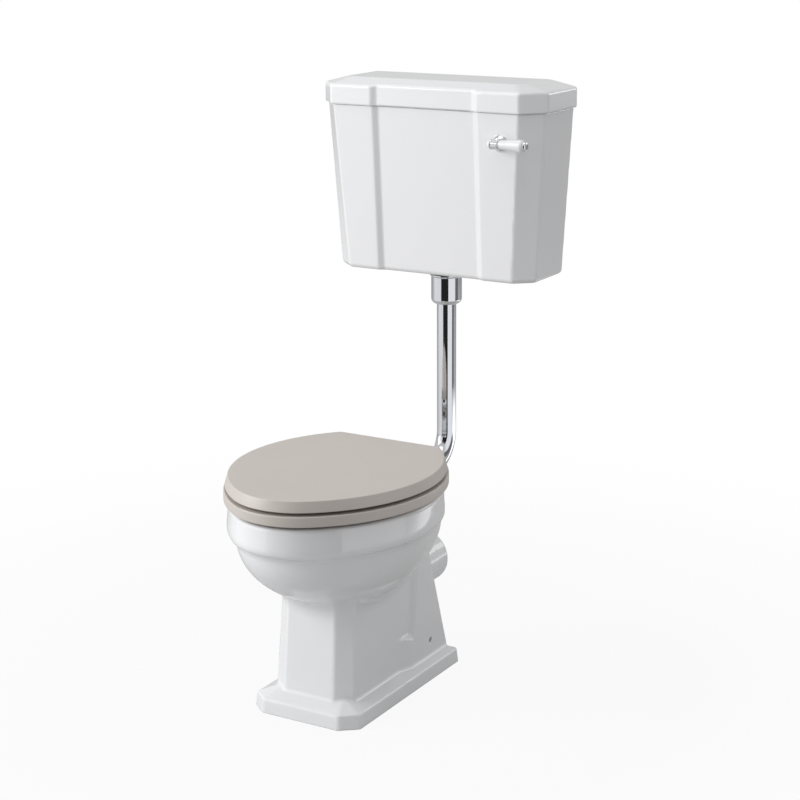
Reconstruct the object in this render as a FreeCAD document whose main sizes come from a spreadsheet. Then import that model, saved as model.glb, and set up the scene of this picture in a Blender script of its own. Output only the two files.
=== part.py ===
import FreeCAD, Part
import math
import os
import re
import Sketcher

# Low level toilet: pan, seat, flush pipe and wall-hung cistern with its fittings.
# +Z is up, +Y points to the wall and +X to the right of someone who faces the wall.
# The origin is on the floor, midway between the front of the seat and the wall.

# Driving dimensions in millimetres and degrees.
SIZES = {
    # Fits between pieces
    "running_gap": 0.05,
    "clear_gap": 0.3,
    # Pan: heights are from the floor, reaches run forward or back from the bowl's widest line
    "bowl_to_wall": 470.5,
    "pan_height": 400,
    "rim_band": 60,
    "rim_half_width": 183,
    "rim_reach": 240.5,
    "rim_back": 192.5,
    "rim_radius": 124,
    "rim_corner": 70,
    "rim_bulge": 6.5,
    "rim_turn": 9,
    "rim_step": 1.5,
    "mouth_half_width": 122,
    "mouth_reach": 190,
    "mouth_back": 125,
    "mouth_radius": 95,
    "mouth_corner": 60,
    "bowl_half_width": 171,
    "bowl_reach": 232,
    "bowl_back": 180,
    "bowl_radius": 138,
    "bowl_depth": 143.6,
    "bowl_centre": 23,
    "bowl_fall": 1.81,
    "bowl_round": 2.15,
    "china_wall": 13,
    "plinth_height": 27,
    "plinth_ledge": 12,
    "plinth_half_width": 114,
    "plinth_front_half": 82,
    "plinth_reach": 150,
    "plinth_chamfer": 26,
    "plinth_back": 244.5,
    "plinth_batter": 3.5,
    "pedestal_top": 300,
    "pedestal_front_half": 53,
    "pedestal_half_width": 84.5,
    "pedestal_taper": 9.2,
    "pedestal_reach": 117.5,
    "pedestal_top_reach": 96.5,
    "pedestal_chamfer": 23,
    "pedestal_back": 236,
    "pedestal_top_back": 164,
    "flare_start": 65,
    "flare_top_start": 15,
    "flare_end": 103,
    "flare_top_end": 118,
    "flare_swell": 7.5,
    "recess_height": 87,
    "recess_back": 114,
    "recess_bevel": 15,
    "recess_rise": 0.6,
    "recess_lean": 0.18,
    "deck_half_width": 98,
    "deck_back": 232,
    "deck_thickness": 24,
    "deck_corner": 26,
    "horn_radius": 33,
    "horn_bore": 26,
    "horn_back": 262,
    "horn_drop": 44,
    "outlet_height": 180,
    "outlet_radius": 52,
    "outlet_wall": 10,
    "outlet_back": 313,
    "outlet_spigot": 40,
    "outlet_step": 2,
    "rim_joint_lead": 3,
    "outlet_joint": 216,
    "trap_radius": 32,
    "trap_wall": 10,
    "trap_start": 20,
    "trap_dip": 100,
    "trap_dip_radius": 50,
    "trap_rise_angle": 60,
    "trap_crest": 212,
    "trap_crest_radius": 45,
    "trap_fall_angle": 20,
    "trap_end_radius": 60,
    "floor_hole_radius": 5.5,
    "floor_hole_height": 64.5,
    "floor_hole_back": 172,
    # Seat
    "seat_forward": 9.5,
    "seat_reach": 247.5,
    "seat_half_width": 192.5,
    "seat_back": 193.5,
    "seat_radius": 131,
    "seat_corner": 12,
    "seat_lift": 7,
    "ring_thickness": 19,
    "ring_edge": 2.5,
    "hole_half_width": 115,
    "hole_reach": 175,
    "hole_back": 115,
    "hole_radius": 90,
    "hole_corner": 70,
    "lid_gap": 6,
    "lid_thickness": 20,
    "lid_setback": 2.5,
    "lid_taper": 6,
    "buffer_radius": 8,
    "buffer_front": 100,
    "buffer_front_half": 125,
    "buffer_rear": 75,
    "buffer_rear_half": 138,
    # Seat hinge
    "hinge_back": 205,
    "hinge_half_spacing": 68,
    "hinge_bar_radius": 4,
    "pillar_flange_radius": 14,
    "pillar_flange": 4,
    "pillar_stem_radius": 7.5,
    "pillar_barrel_radius": 9.5,
    "pillar_barrel": 16,
    "knuckle_radius": 8.5,
    "knuckle_width": 16,
    "knuckle_gap": 2,
    "leaf_thickness": 2.5,
    "leaf_length": 72,
    "leaf_first_screw": 46,
    "leaf_second_screw": 64,
    "screw_radius": 2.2,
    "screw_length": 12,
    "screw_head_radius": 4,
    "screw_head": 1.4,
    "stud_radius": 4,
    "stud_hole_radius": 7,
    "stud_length": 62,
    "stud_grip": 10,
    "stud_washer_radius": 12,
    "stud_washer": 9,
    "wing_nut_hub_radius": 8,
    "wing_nut_hub": 10,
    "wing_span": 36,
    "wing_height": 13,
    "wing_thickness": 3.5,
    # Flush pipe
    "pipe_to_wall": 73,
    "pipe_radius": 19,
    "pipe_wall": 1.5,
    "pipe_bend": 61,
    "pipe_end_back": 215,
    "pipe_collar_radius": 22.5,
    "pipe_collar": 4,
    "pipe_washer": 4,
    "cone_flange": 6,
    "cone_length": 20,
    # Cistern: depths run forward from the wall
    "cistern_bottom": 740,
    "cistern_height": 321,
    "cistern_top_half": 234,
    "cistern_bottom_half": 214,
    "cistern_top_depth": 163,
    "cistern_bottom_depth": 142,
    "cistern_chamfer_width": 35,
    "cistern_top_chamfer": 39,
    "cistern_bottom_chamfer": 30,
    "cistern_wall": 10,
    "cistern_floor": 12,
    "cistern_foot": 8,
    "cistern_foot_width": 18,
    "cistern_trim": 2,
    "panel_half_width": 103,
    "panel_bevel": 11,
    "panel_recess": 6,
    "cistern_edge": 7,
    "fixing_half_spacing": 100,
    "fixing_height": 280,
    "fixing_radius": 5,
    # Cistern lid
    "cover_half_width": 241,
    "cover_depth": 168,
    "cover_setback": 1,
    "cover_band": 38,
    "cover_chamfer_width": 39,
    "cover_chamfer": 43,
    "cover_rise": 13,
    "cover_plateau_half": 190,
    "cover_plateau_front": 130,
    "cover_plateau_back": 14,
    "cover_slack": 2,
    "cover_border": 24,
    "cover_hollow": 31,
    "cover_lip": 8,
    "cover_lip_width": 6,
    "cover_lip_gap": 3,
    # Siphon
    "siphon_tail_radius": 23.5,
    "siphon_bore": 19,
    "siphon_tail_drop": 50,
    "siphon_leg_radius": 22.5,
    "siphon_flange_radius": 36,
    "siphon_flange": 6,
    "siphon_washer": 3,
    "siphon_nut_radius": 35,
    "siphon_nut": 14,
    "siphon_crown_height": 112,
    "chamber_radius": 42,
    "chamber_bore": 39,
    "chamber_lift": 12,
    "chamber_height": 52,
    "chamber_cone": 24,
    "guide_radius": 6,
    "guide_height": 60,
    "plunger_rod_radius": 3,
    "plunger_plate_radius": 37,
    "plunger_plate": 3,
    "plunger_lift": 5,
    "diaphragm": 1,
    "hook_radius": 1.5,
    "hook_length": 29,
    "hook_half_width": 10,
    "hook_bend": 4,
    "eye_radius": 6,
    "eye_thickness": 4,
    # Union nut
    "union_radius": 30,
    "union_flange_radius": 32.5,
    "union_flange": 5,
    "union_height": 59,
    "union_lip": 7,
    "union_round": 9,
    # Flush lever
    "lever_inset": 74,
    "lever_height": 266,
    "lever_seat_radius": 18,
    "lever_seat_cut": 0.6,
    "spindle_radius": 5,
    "bush_flange_radius": 16.5,
    "bush_dome": 10,
    "bush_rim": 2,
    "bush_radius": 9,
    "bush_length": 25,
    "bush_washer": 2,
    "bush_nut_radius": 15,
    "bush_nut": 6,
    "boss_reach": 21,
    "boss_radius": 9.5,
    "boss_left": 9,
    "boss_right": 8,
    "boss_neck_radius": 7,
    "boss_socket": 7,
    "handle_length": 51,
    "handle_root_radius": 8,
    "handle_swell_radius": 12,
    "handle_swell_length": 45,
    "handle_end_radius": 10,
    "end_cap_length": 6.5,
    "end_cap_radius": 9,
    "handle_stud_radius": 2.5,
    "handle_stud_grip": 6,
    "ball_length": 8,
    "ball_radius": 6.5,
    "rod_offset": 72,
    "arm_drop": 12,
    "arm_height": 9,
    "arm_thickness": 6,
    "arm_hub_radius": 11,
    "arm_hub": 12,
    "arm_slot": 14,
    "arm_slot_height": 5,
    "arm_screw_radius": 2,
    "arm_screw_length": 9,
    # Fill valve
    "fill_offset": 60,
    "fill_to_wall": 57.5,
    "fill_tail_radius": 10.4,
    "fill_tail_drop": 13,
    "fill_inlet_radius": 10.2,
    "fill_bore": 6,
    "fill_flange_radius": 17,
    "fill_flange": 4,
    "fill_washer": 3,
    "fill_nut_radius": 16,
    "fill_nut": 10,
    "fill_pipe_radius": 9,
    "fill_head_height": 208,
    "fill_head_radius": 12,
    "fill_head_right": 14,
    "fill_head_left": 20,
    "fill_cap_radius": 15,
    "fill_cap_overlap": 8,
    "fill_cap_length": 13,
    "fill_ear_width": 4,
    "fill_ear_half_gap": 6,
    "fill_ear_reach": 8,
    "pivot_drop": 8,
    "pivot_radius": 2,
    "valve_pin_radius": 2,
    "valve_pin_length": 14,
    "float_angle": 30,
    "float_arm_length": 70,
    "float_arm_radius": 3,
    "float_arm_width": 8,
    "float_radius": 40,
    "float_wall": 2,
}

# Places of a hinge leaf's two wood screws behind the bowl's widest line.
LEAF_SCREWS = ("hinge_back - leaf_first_screw", "hinge_back - leaf_second_screw")

# Places and sizes that follow from the driving dimensions.
FORMULAS = {
    "wall": "(bowl_to_wall + seat_forward + seat_reach) / 2",
    "middle": "wall - bowl_to_wall",
    "pipe_place": "wall - pipe_to_wall",
    "seat_middle": "middle - seat_forward",
    "crease": "pan_height - rim_band",
    "deck_bottom": "pan_height - deck_thickness",
    "deck_joint": "rim_back - seat_forward + rim_joint_lead",
    "rim_joint": "crease + china_wall - 2",
    "bowl_joint": "crease - bowl_depth",
    "ring_bottom": "pan_height + seat_lift",
    "ring_top": "ring_bottom + ring_thickness",
    "lid_bottom": "ring_top + lid_gap",
    "hinge_height": "ring_top + lid_gap / 2",
    "pillar_inner": "hinge_half_spacing - pillar_barrel / 2",
    "pillar_outer": "hinge_half_spacing + pillar_barrel / 2",
    "hinge_bar_half": "pillar_outer + knuckle_gap + knuckle_width",
    "pipe_floor": "pan_height - horn_drop",
    "tank_floor": "cistern_bottom + cistern_foot + cistern_floor",
    "tank_under": "cistern_bottom + cistern_foot",
    "tank_top": "cistern_bottom + cistern_height",
    "tank_lean": "(cistern_top_depth - cistern_bottom_depth) / cistern_height",
    "tail_end": "cistern_bottom - siphon_tail_drop",
    "union_top": "tank_under - siphon_nut - 2 * clear_gap",
    "union_bottom": "union_top - union_height",
    "pipe_top": "tail_end - pipe_washer",
    "lever_place": "cistern_bottom + lever_height",
    "lever_seat": "cistern_bottom_depth + tank_lean * (lever_height - lever_seat_radius) - lever_seat_cut",
    "lever_front": "wall - lever_seat",
    "nut_seat": "cistern_bottom_depth + tank_lean * (lever_height - bush_nut_radius) - cistern_wall",
    "lever_offset": "cistern_top_half - lever_inset",
    "arm_length": "(lever_offset - rod_offset) / cos(arm_drop)",
    "slot_height": "lever_place - arm_length * sin(arm_drop)",
    "eye_height": "slot_height - hook_length",
    "crown_bend": "rod_offset / 2",
    "crown_height": "tank_floor + siphon_crown_height",
    "chamber_bottom": "tank_floor + chamber_lift",
    "chamber_top": "chamber_bottom + chamber_height",
    "plate_bottom": "chamber_bottom + plunger_lift",
    "fill_place": "wall - fill_to_wall",
    "fill_head": "tank_floor + fill_head_height",
    "cap_end": "fill_head_left - fill_cap_overlap + fill_cap_length",
    "pivot_reach": "cap_end + fill_ear_reach",
    "nose_rise": "(pivot_drop - valve_pin_radius) * tan(float_angle)",
    "nose_reach": "float_arm_radius / cos(float_angle) - nose_rise",
}

doc = FreeCAD.newDocument("low_level_toilet")
sheet = doc.addObject("Spreadsheet::Sheet", "Sizes")
for row, (alias, number) in enumerate(SIZES.items(), start=1):
    sheet.set(f"A{row}", alias)
    sheet.set(f"B{row}", str(number))
    sheet.setAlias(f"B{row}", alias)
doc.recompute()

sub_parts = []


def bound(formula):
    """The formula as an expression on the sheet's cells, with every named formula written out."""

    def cell(match):
        word = match.group(0)
        if word in SIZES:
            return "Sizes." + word
        if word in FORMULAS:
            return "(" + bound(FORMULAS[word]) + ")"
        return word

    return re.sub(r"[a-z_]+", cell, formula)


def value(formula):
    """The number that a formula gives now."""
    return float(sheet.evalExpression(bound(formula)))


def link(thing, prop, formula):
    """Bind a property of a document object to a formula on the sheet."""
    thing.setExpression(prop, bound(formula))


def place(thing, across="0", back="0", up="0", tilt="0"):
    """Put a sub-part at its place, turned about the Y axis by tilt degrees."""
    thing.Placement = FreeCAD.Placement(
        FreeCAD.Vector(value(across), value(back), value(up)),
        FreeCAD.Rotation(FreeCAD.Vector(0, 1, 0), value(tilt)),
    )
    for axis, formula in (("x", across), ("y", back), ("z", up)):
        link(thing, "Placement.Base." + axis, formula)
    if tilt != "0":
        link(thing, "Placement.Rotation.Angle", tilt)


def new_body(label):
    """An empty sub-part made of sketches and features."""
    body = doc.addObject("PartDesign::Body", label)
    body.Label = label
    body.AllowCompound = True
    sub_parts.append(body)
    return body


def new_sketch(body, role, lift="0", across="0", up="0"):
    """A sketch on one of the body's planes, raised along the plane's normal and shifted in it."""
    sketch = body.newObject("Sketcher::SketchObject", body.Label + "_sketch")
    planes = [feature for feature in body.Origin.OriginFeatures if feature.Role == role]
    sketch.AttachmentSupport = [(planes[0], "")]
    sketch.MapMode = "FlatFace"
    for axis, formula in (("x", across), ("y", up), ("z", lift)):
        if formula != "0":
            link(sketch, "AttachmentOffset.Base." + axis, formula)
    return sketch


def dimension(sketch, kind, where, formula):
    """Add one measured constraint and bind it to its formula."""
    index = sketch.addConstraint(Sketcher.Constraint(kind, *where, value(formula)))
    sketch.setExpression(f"Constraints[{index}]", bound(formula))


def pin_point(sketch, geometry, end, across, up):
    """Fix a point of the sketch at its distances from the sketch's origin."""
    for kind, formula, axis in (("DistanceX", across, -2), ("DistanceY", up, -1)):
        if formula == "0":
            sketch.addConstraint(Sketcher.Constraint("PointOnObject", geometry, end, axis))
        else:
            dimension(sketch, kind, (-1, 1, geometry, end), formula)


def arc_between(start, stop, radius):
    """Short arc of a radius that turns left from start to stop."""
    chord = stop - start
    half = chord.Length / 2
    left = FreeCAD.Vector(-chord.y, chord.x, 0).normalize()
    centre = (start + stop) * 0.5 + left * math.sqrt(max(radius * radius - half * half, 0))
    first = math.atan2(start.y - centre.y, start.x - centre.x)
    last = math.atan2(stop.y - centre.y, stop.x - centre.x)
    round_edge = Part.Circle(centre, FreeCAD.Vector(0, 0, 1), radius)
    return Part.ArcOfCircle(round_edge, first, last)


def draw(sketch, corners, closed=True):
    """Outline through corners, each (across, up) or (across, up, radius) in formulas.

    A radius bends the side that leaves its corner into an arc: to the left where it is
    plain, to the right where it starts with a minus sign.
    """
    spots = [FreeCAD.Vector(value(corner[0]), value(corner[1]), 0) for corner in corners]
    sides = []
    for index in range(len(corners) if closed else len(corners) - 1):
        start, stop = spots[index], spots[(index + 1) % len(spots)]
        radius = corners[index][2] if len(corners[index]) == 3 else None
        if radius is None:
            sides.append((sketch.addGeometry(Part.LineSegment(start, stop), False), 1, 2))
        elif radius.startswith("-"):
            sides.append((sketch.addGeometry(arc_between(stop, start, value(radius[1:])), False), 2, 1))
        else:
            sides.append((sketch.addGeometry(arc_between(start, stop, value(radius)), False), 1, 2))
    for index, (geometry, first, last) in enumerate(sides):
        if closed or index:
            before = sides[index - 1]
            sketch.addConstraint(Sketcher.Constraint("Coincident", before[0], before[2], geometry, first))
        pin_point(sketch, geometry, first, corners[index][0], corners[index][1])
        if len(corners[index]) == 3:
            dimension(sketch, "Radius", (geometry,), corners[index][2].lstrip("-"))
    if not closed:
        pin_point(sketch, sides[-1][0], sides[-1][2], corners[-1][0], corners[-1][1])
    return sketch


def draw_circle(sketch, across, up, radius):
    """Circle about a point of the sketch."""
    centre = FreeCAD.Vector(value(across), value(up), 0)
    circle = Part.Circle(centre, FreeCAD.Vector(0, 0, 1), value(radius))
    geometry = sketch.addGeometry(circle, False)
    pin_point(sketch, geometry, 3, across, up)
    dimension(sketch, "Radius", (geometry,), radius)
    return sketch


def draw_hexagon(sketch, radius):
    """Hexagon about the sketch's origin, with its corners at the given radius."""
    turns = [60 * step for step in range(6)]
    corners = [(f"({radius}) * cos({turn} + 30)", f"({radius}) * sin({turn} + 30)") for turn in turns]
    return draw(sketch, corners)


def pad(body, sketch, length, both_ways=False, reverse=False):
    """Raise a sketch into a solid."""
    feature = body.newObject("PartDesign::Pad", body.Label + "_pad")
    feature.Profile = sketch
    link(feature, "Length", length)
    feature.Reversed = reverse
    if both_ways:
        feature.SideType = "Symmetric"
    return feature


def pocket(body, sketch, length, both_ways=False, reverse=False):
    """Cut a sketch into the solid, against the plane's normal unless reversed."""
    feature = body.newObject("PartDesign::Pocket", body.Label + "_pocket")
    feature.Profile = sketch
    link(feature, "Length", length)
    feature.Reversed = reverse
    if both_ways:
        feature.SideType = "Symmetric"
    return feature


def turn(body, sketch, axis="V_Axis", cut=False):
    """Spin a sketch about one of its own axes, adding to the solid or cutting it."""
    kind = "PartDesign::Groove" if cut else "PartDesign::Revolution"
    feature = body.newObject(kind, body.Label + "_turn")
    feature.Profile = sketch
    feature.ReferenceAxis = (sketch, [axis])
    feature.Angle = 360
    return feature


def pipe(body, profile, path, edges, cut=False):
    """Carry a profile along the edges of a path sketch, adding to the solid or cutting it."""
    kind = "PartDesign::SubtractivePipe" if cut else "PartDesign::AdditivePipe"
    feature = body.newObject(kind, body.Label + "_pipe")
    feature.Profile = profile
    feature.Spine = (path, [f"Edge{number}" for number in range(1, edges + 1)])
    return feature


def loft(body, sections, cut=False):
    """Straight-sided loft through sketches, adding to the solid or cutting it."""
    kind = "PartDesign::SubtractiveLoft" if cut else "PartDesign::AdditiveLoft"
    feature = body.newObject(kind, body.Label + "_loft")
    feature.Profile = sections[0]
    feature.Sections = sections[1:]
    feature.Ruled = True
    return feature


def round_edges(body, base, radius, wanted):
    """Fillet the edges of the base feature that the test picks."""
    doc.recompute()
    names = [f"Edge{number}" for number, edge in enumerate(base.Shape.Edges, start=1) if wanted(edge)]
    feature = body.newObject("PartDesign::Fillet", body.Label + "_fillet")
    feature.Base = (base, names)
    link(feature, "Radius", radius)
    return feature


def washer(label, outer, inner, thickness):
    """Flat ring that stands on its own XY plane."""
    body = new_body(label)
    face = draw_circle(new_sketch(body, "XY_Plane"), "0", "0", outer)
    draw_circle(face, "0", "0", inner)
    pad(body, face, thickness)
    return body


def hex_nut(label, radius, bore, thickness):
    """Hexagon nut that stands on its own XY plane, with corners at the given radius."""
    body = new_body(label)
    face = draw_hexagon(new_sketch(body, "XY_Plane"), radius)
    draw_circle(face, "0", "0", bore)
    pad(body, face, thickness)
    return body


# Egg outline: a front arc, two long side arcs, two rear corners and a straight back.


def egg_points(half_width, reach, back, front_radius, corner):
    """Centres and touching points of the egg's arcs, worked out from their tangency."""
    front_drop = reach - front_radius
    side_radius = (half_width**2 + front_drop**2 - front_radius**2) / (2 * (half_width - front_radius))
    side_centre = half_width - side_radius
    front_turn = math.atan2(-front_drop, -side_centre)
    corner_rise = back - corner
    corner_across = side_centre + math.sqrt((side_radius - corner) ** 2 - corner_rise**2)
    corner_turn = math.atan2(corner_rise, corner_across - side_centre)
    return front_drop, side_radius, side_centre, front_turn, corner_rise, corner_across, corner_turn


def egg_wire(half_width, reach, back, front_radius, corner, height, scale=1.0, centre=0.0, forward=0.0):
    """Egg outline as a wire at a height, shrunk towards a point on its axis, then moved forward."""
    drop, side_radius, side, front_turn, rise, across, corner_turn = egg_points(
        half_width, reach, back, front_radius, corner
    )

    def spot(x, y):
        return FreeCAD.Vector(x * scale, centre + (y - centre) * scale - forward, height)

    def on_side(angle):
        return spot(side + side_radius * math.cos(angle), side_radius * math.sin(angle))

    def on_corner(angle):
        return spot(across + corner * math.cos(angle), rise + corner * math.sin(angle))

    def mirrored(point):
        return FreeCAD.Vector(-point.x, point.y, point.z)

    front_end = on_side(front_turn)
    corner_start = on_side(corner_turn)
    side_middle = on_side((front_turn + corner_turn) / 2)
    corner_middle = on_corner((corner_turn + math.pi / 2) / 2)
    back_end = spot(across, back)
    edges = [
        Part.Arc(mirrored(front_end), spot(0, -reach), front_end),
        Part.Arc(front_end, side_middle, corner_start),
        Part.Arc(corner_start, corner_middle, back_end),
        Part.LineSegment(back_end, mirrored(back_end)),
        Part.Arc(mirrored(back_end), mirrored(corner_middle), mirrored(corner_start)),
        Part.Arc(mirrored(corner_start), mirrored(side_middle), mirrored(front_end)),
    ]
    return Part.Wire([edge.toShape() for edge in edges])


def draw_egg(sketch, half_width, reach, back, front_radius, corner):
    """Egg outline in a sketch, held by tangent arcs and its five sizes."""
    drop, side_radius, side, front_turn, rise, across, corner_turn = egg_points(
        value(half_width), value(reach), value(back), value(front_radius), value(corner)
    )
    normal = FreeCAD.Vector(0, 0, 1)

    def arc(x, y, radius, first, last):
        circle = Part.Circle(FreeCAD.Vector(x, y, 0), normal, radius)
        return sketch.addGeometry(Part.ArcOfCircle(circle, first, last), False)

    half_turn = math.pi
    front = arc(0, -drop, value(front_radius), -half_turn - front_turn, front_turn)
    right = arc(side, 0, side_radius, front_turn, corner_turn)
    right_corner = arc(across, rise, value(corner), corner_turn, half_turn / 2)
    back_left, back_right = (FreeCAD.Vector(sign * across, value(back), 0) for sign in (-1, 1))
    back_line = sketch.addGeometry(Part.LineSegment(back_right, back_left), False)
    left_corner = arc(-across, rise, value(corner), half_turn / 2, half_turn - corner_turn)
    left = arc(-side, 0, side_radius, half_turn - corner_turn, half_turn - front_turn)
    ring = (front, right, right_corner, back_line, left_corner, left)
    for before, after in zip(ring, ring[1:] + ring[:1]):
        sketch.addConstraint(Sketcher.Constraint("Tangent", before, 2, after, 1))
    sketch.addConstraint(Sketcher.Constraint("PointOnObject", front, 3, -2))
    dimension(sketch, "DistanceY", (front, 3, -1, 1), f"({reach}) - ({front_radius})")
    dimension(sketch, "Radius", (front,), front_radius)
    for side_arc, corner_arc, sign in ((right, right_corner, ""), (left, left_corner, "-")):
        sketch.addConstraint(Sketcher.Constraint("PointOnObject", side_arc, 3, -1))
        spot = FreeCAD.Vector(value(f"{sign}({half_width})"), 0, 0)
        widest = sketch.addGeometry(Part.Point(spot), True)
        sketch.addConstraint(Sketcher.Constraint("PointOnObject", widest, 1, -1))
        sketch.addConstraint(Sketcher.Constraint("PointOnObject", widest, 1, side_arc))
        dimension(sketch, "DistanceX", (-1, 1, widest, 1), f"{sign}({half_width})")
        dimension(sketch, "Radius", (corner_arc,), corner)
    sketch.addConstraint(Sketcher.Constraint("Horizontal", back_line))
    dimension(sketch, "DistanceY", (-1, 1, back_line, 1), back)
    return sketch


# Pan: one ceramic casting, built from lofts because its bowl has no flat or turned face.


def polygon_wire(right_side, height):
    """Closed outline that is the right-hand points and their mirror image, at a height."""
    left_side = [(-x, y) for x, y in reversed(right_side)]
    spots = [FreeCAD.Vector(x, y, height) for x, y in right_side + left_side]
    return Part.makePolygon(spots + spots[:1])


def bent_path(across, start, heading, moves):
    """Path in a plane of constant x: straight runs (length, 0) and arcs (radius, turn in degrees)."""
    edges = []
    here, angle = FreeCAD.Vector(across, *start), math.radians(heading)
    for length, bend in moves:
        if bend == 0:
            there = here + FreeCAD.Vector(0, math.cos(angle), math.sin(angle)) * length
            edges.append(Part.LineSegment(here, there))
        else:
            side = math.copysign(1, bend)
            centre = here + FreeCAD.Vector(0, -math.sin(angle), math.cos(angle)) * (side * length)

            def on_arc(turned):
                way = angle + turned
                return centre + FreeCAD.Vector(0, math.sin(way), -math.cos(way)) * (side * length)

            there = on_arc(math.radians(bend))
            edges.append(Part.Arc(here, on_arc(math.radians(bend) / 2), there))
            angle += math.radians(bend)
        here = there
    return Part.Wire([edge.toShape() for edge in edges])


def swept(path, radius):
    """Round bar along a path that starts straight down."""
    start = path.Vertexes[0].Point
    circle = Part.Circle(start, FreeCAD.Vector(0, 0, -1), radius).toShape()
    return path.makePipeShell([Part.Wire([circle])], True, False)


def level_bar(radius, start, stop, height):
    """Round bar along Y at a height."""
    base, heading = FreeCAD.Vector(0, start, height), FreeCAD.Vector(0, 1, 0)
    return Part.makeCylinder(radius, stop - start, base, heading)


def bowl_loft(half_width, reach, back, front_radius, top, depth):
    """Bowl as a loft of eggs that shrink towards the bottom along a rounded profile."""
    centre = value("bowl_centre")
    sections = []
    for share in (0, 0.12, 0.3, 0.5, 0.68, 0.82, 0.92, 0.975):
        scale = (1 - share ** value("bowl_fall")) ** (1 / value("bowl_round"))
        height = top - share * depth
        sections.append(
            egg_wire(half_width, reach, back, front_radius, value("rim_corner"), height, scale, centre)
        )
    return Part.makeLoft(sections, True, False)


def pedestal_corners(top, inset=0.0):
    """Right half of the pedestal's plan at its foot or its top, moved in by an inset."""
    level = "top_" if top else ""
    taper = value("pedestal_taper") if top else 0.0
    front = value("pedestal_front_half") - taper / 2 - inset / 2
    side = value("pedestal_half_width") - taper - inset
    swell = value("flare_swell")
    reach = value(f"pedestal_{level}reach")
    return [
        (front, inset - reach),
        (side, value("pedestal_chamfer") + inset / 2 - reach),
        (side, value(f"flare_{level}start")),
        (side + swell, value(f"flare_{level}end")),
        (side + swell, value(f"pedestal_{level}back") - inset),
    ]


def plinth_corners(inset):
    """Right half of the plinth's plan, its front and sides moved in by an inset."""
    front, reach = value("plinth_front_half") - inset / 2, value("plinth_reach") - inset
    half = value("plinth_half_width") - inset
    side = [(half, value(place)) for place in ("flare_start", "flare_end", "plinth_back")]
    return [(front, -reach), (half, value("plinth_chamfer") - reach), *side]


def foot_solid():
    """Plinth, ledge and leaning pedestal, with the flared sides cut back to two flat recesses."""
    floor = polygon_wire(plinth_corners(0), 0)
    shoulder = polygon_wire(plinth_corners(value("plinth_batter")), value("plinth_height"))
    low = polygon_wire(pedestal_corners(False), value("plinth_height + plinth_ledge"))
    high = polygon_wire(pedestal_corners(True), value("pedestal_top"))
    base = Part.makeLoft([floor, shoulder], True, True)
    slope = Part.makeLoft([shoulder, low], True, True)
    column = Part.makeLoft([low, high], True, True)
    solid = base.fuse([slope, column])
    for side in (1, -1):
        solid = solid.cut(side_recess(side))
    return solid


def side_recess(side):
    """Wedge that takes the flare away above and in front of two bevelled edges."""
    bevel = value("recess_bevel")
    ledge = value("plinth_height + plinth_ledge")
    lean = value("pedestal_taper") / (value("pedestal_top") - ledge)
    wires = []
    for rise, grown in ((value("recess_rise"), 0.0), (2 * value("flare_swell"), 2 * bevel)):
        low = value("recess_height") + bevel - grown
        back = value("recess_back") - bevel + grown
        top = value("pedestal_top")
        back_top = back + value("recess_lean") * (top - low)
        spots = []
        for along, height in ((0.0, low), (back, low), (back_top, top), (0.0, top)):
            across = value("pedestal_half_width") - lean * (height - ledge) + rise
            spots.append(FreeCAD.Vector(side * across, along, height))
        wires.append(Part.makePolygon(spots + spots[:1]))
    return Part.makeLoft(wires, True, True)


def foot_hollow():
    """Space inside the foot, open to the floor."""
    wall = value("china_wall")
    low = polygon_wire(pedestal_corners(False, wall), -1)
    high = polygon_wire(pedestal_corners(True, wall), value("pedestal_top"))
    return Part.makeLoft([low, high], True, True)


def rim_solid():
    """Band round the top of the bowl: a quick turn out over the crease, then a face that leans in upwards."""
    band, crease, step = value("rim_band"), value("crease"), value("rim_step")
    low = [value(f"bowl_{name}") + step for name in ("half_width", "reach", "back", "radius")]
    high = [value(f"rim_{name}") for name in ("half_width", "reach", "back", "radius")]
    sections = []
    for share in (0, 0.06, 0.16, 0.34, 0.65, 1):
        out = 1 - (1 - share) ** value("rim_turn")
        grown = value("rim_bulge") * (1 - share) * out
        outline = [a + (b - a) * out + grown for a, b in zip(low, high)]
        forward = out * value("seat_forward")
        sections.append(egg_wire(*outline, value("rim_corner"), crease + share * band, forward=forward))
    return Part.makeLoft(sections, True, False)


def deck_solid():
    """Ledge behind the bowl that carries the seat's hinge."""
    half, front, back = value("deck_half_width"), value("mouth_back"), value("deck_back")
    corner = FreeCAD.Vector(-half, front, value("deck_bottom"))
    slab = Part.makeBox(2 * half, back - front, value("deck_thickness"), corner)
    upright = [edge for edge in slab.Edges if edge.BoundBox.ZLength > 1]
    rear = [edge for edge in upright if abs(edge.BoundBox.YMin - back) < 0.01]
    return slab.makeFillet(value("deck_corner"), rear)


def trap_path():
    """Centre line of the water trap: down from the bowl, round the dip, over the crest and out."""
    rise, fall = value("trap_rise_angle"), value("trap_fall_angle")
    dip_radius, crest_radius, end_radius = (
        value("trap_dip_radius"),
        value("trap_crest_radius"),
        value("trap_end_radius"),
    )
    top = value("crease - bowl_depth * 0.75")
    drop = top - value("trap_dip") - dip_radius
    climb = value("trap_crest - trap_dip")
    climb -= (dip_radius + crest_radius) * (1 - math.cos(math.radians(rise)))
    descent = value("trap_crest - outlet_height")
    descent -= (crest_radius + end_radius) * (1 - math.cos(math.radians(fall)))
    moves = [
        (drop, 0),
        (dip_radius, 90 + rise),
        (climb / math.sin(math.radians(rise)), 0),
        (crest_radius, -rise - fall),
        (descent / math.sin(math.radians(fall)), 0),
        (end_radius, fall),
    ]
    return bent_path(0, (value("trap_start"), top), -90, moves)


def full_width_block(front, back, low, high):
    """Box as wide as the pan between two places along it and two heights."""
    half = value("rim_half_width + china_wall")
    return Part.makeBox(2 * half, back - front, high - low, FreeCAD.Vector(-half, front, low))


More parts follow.
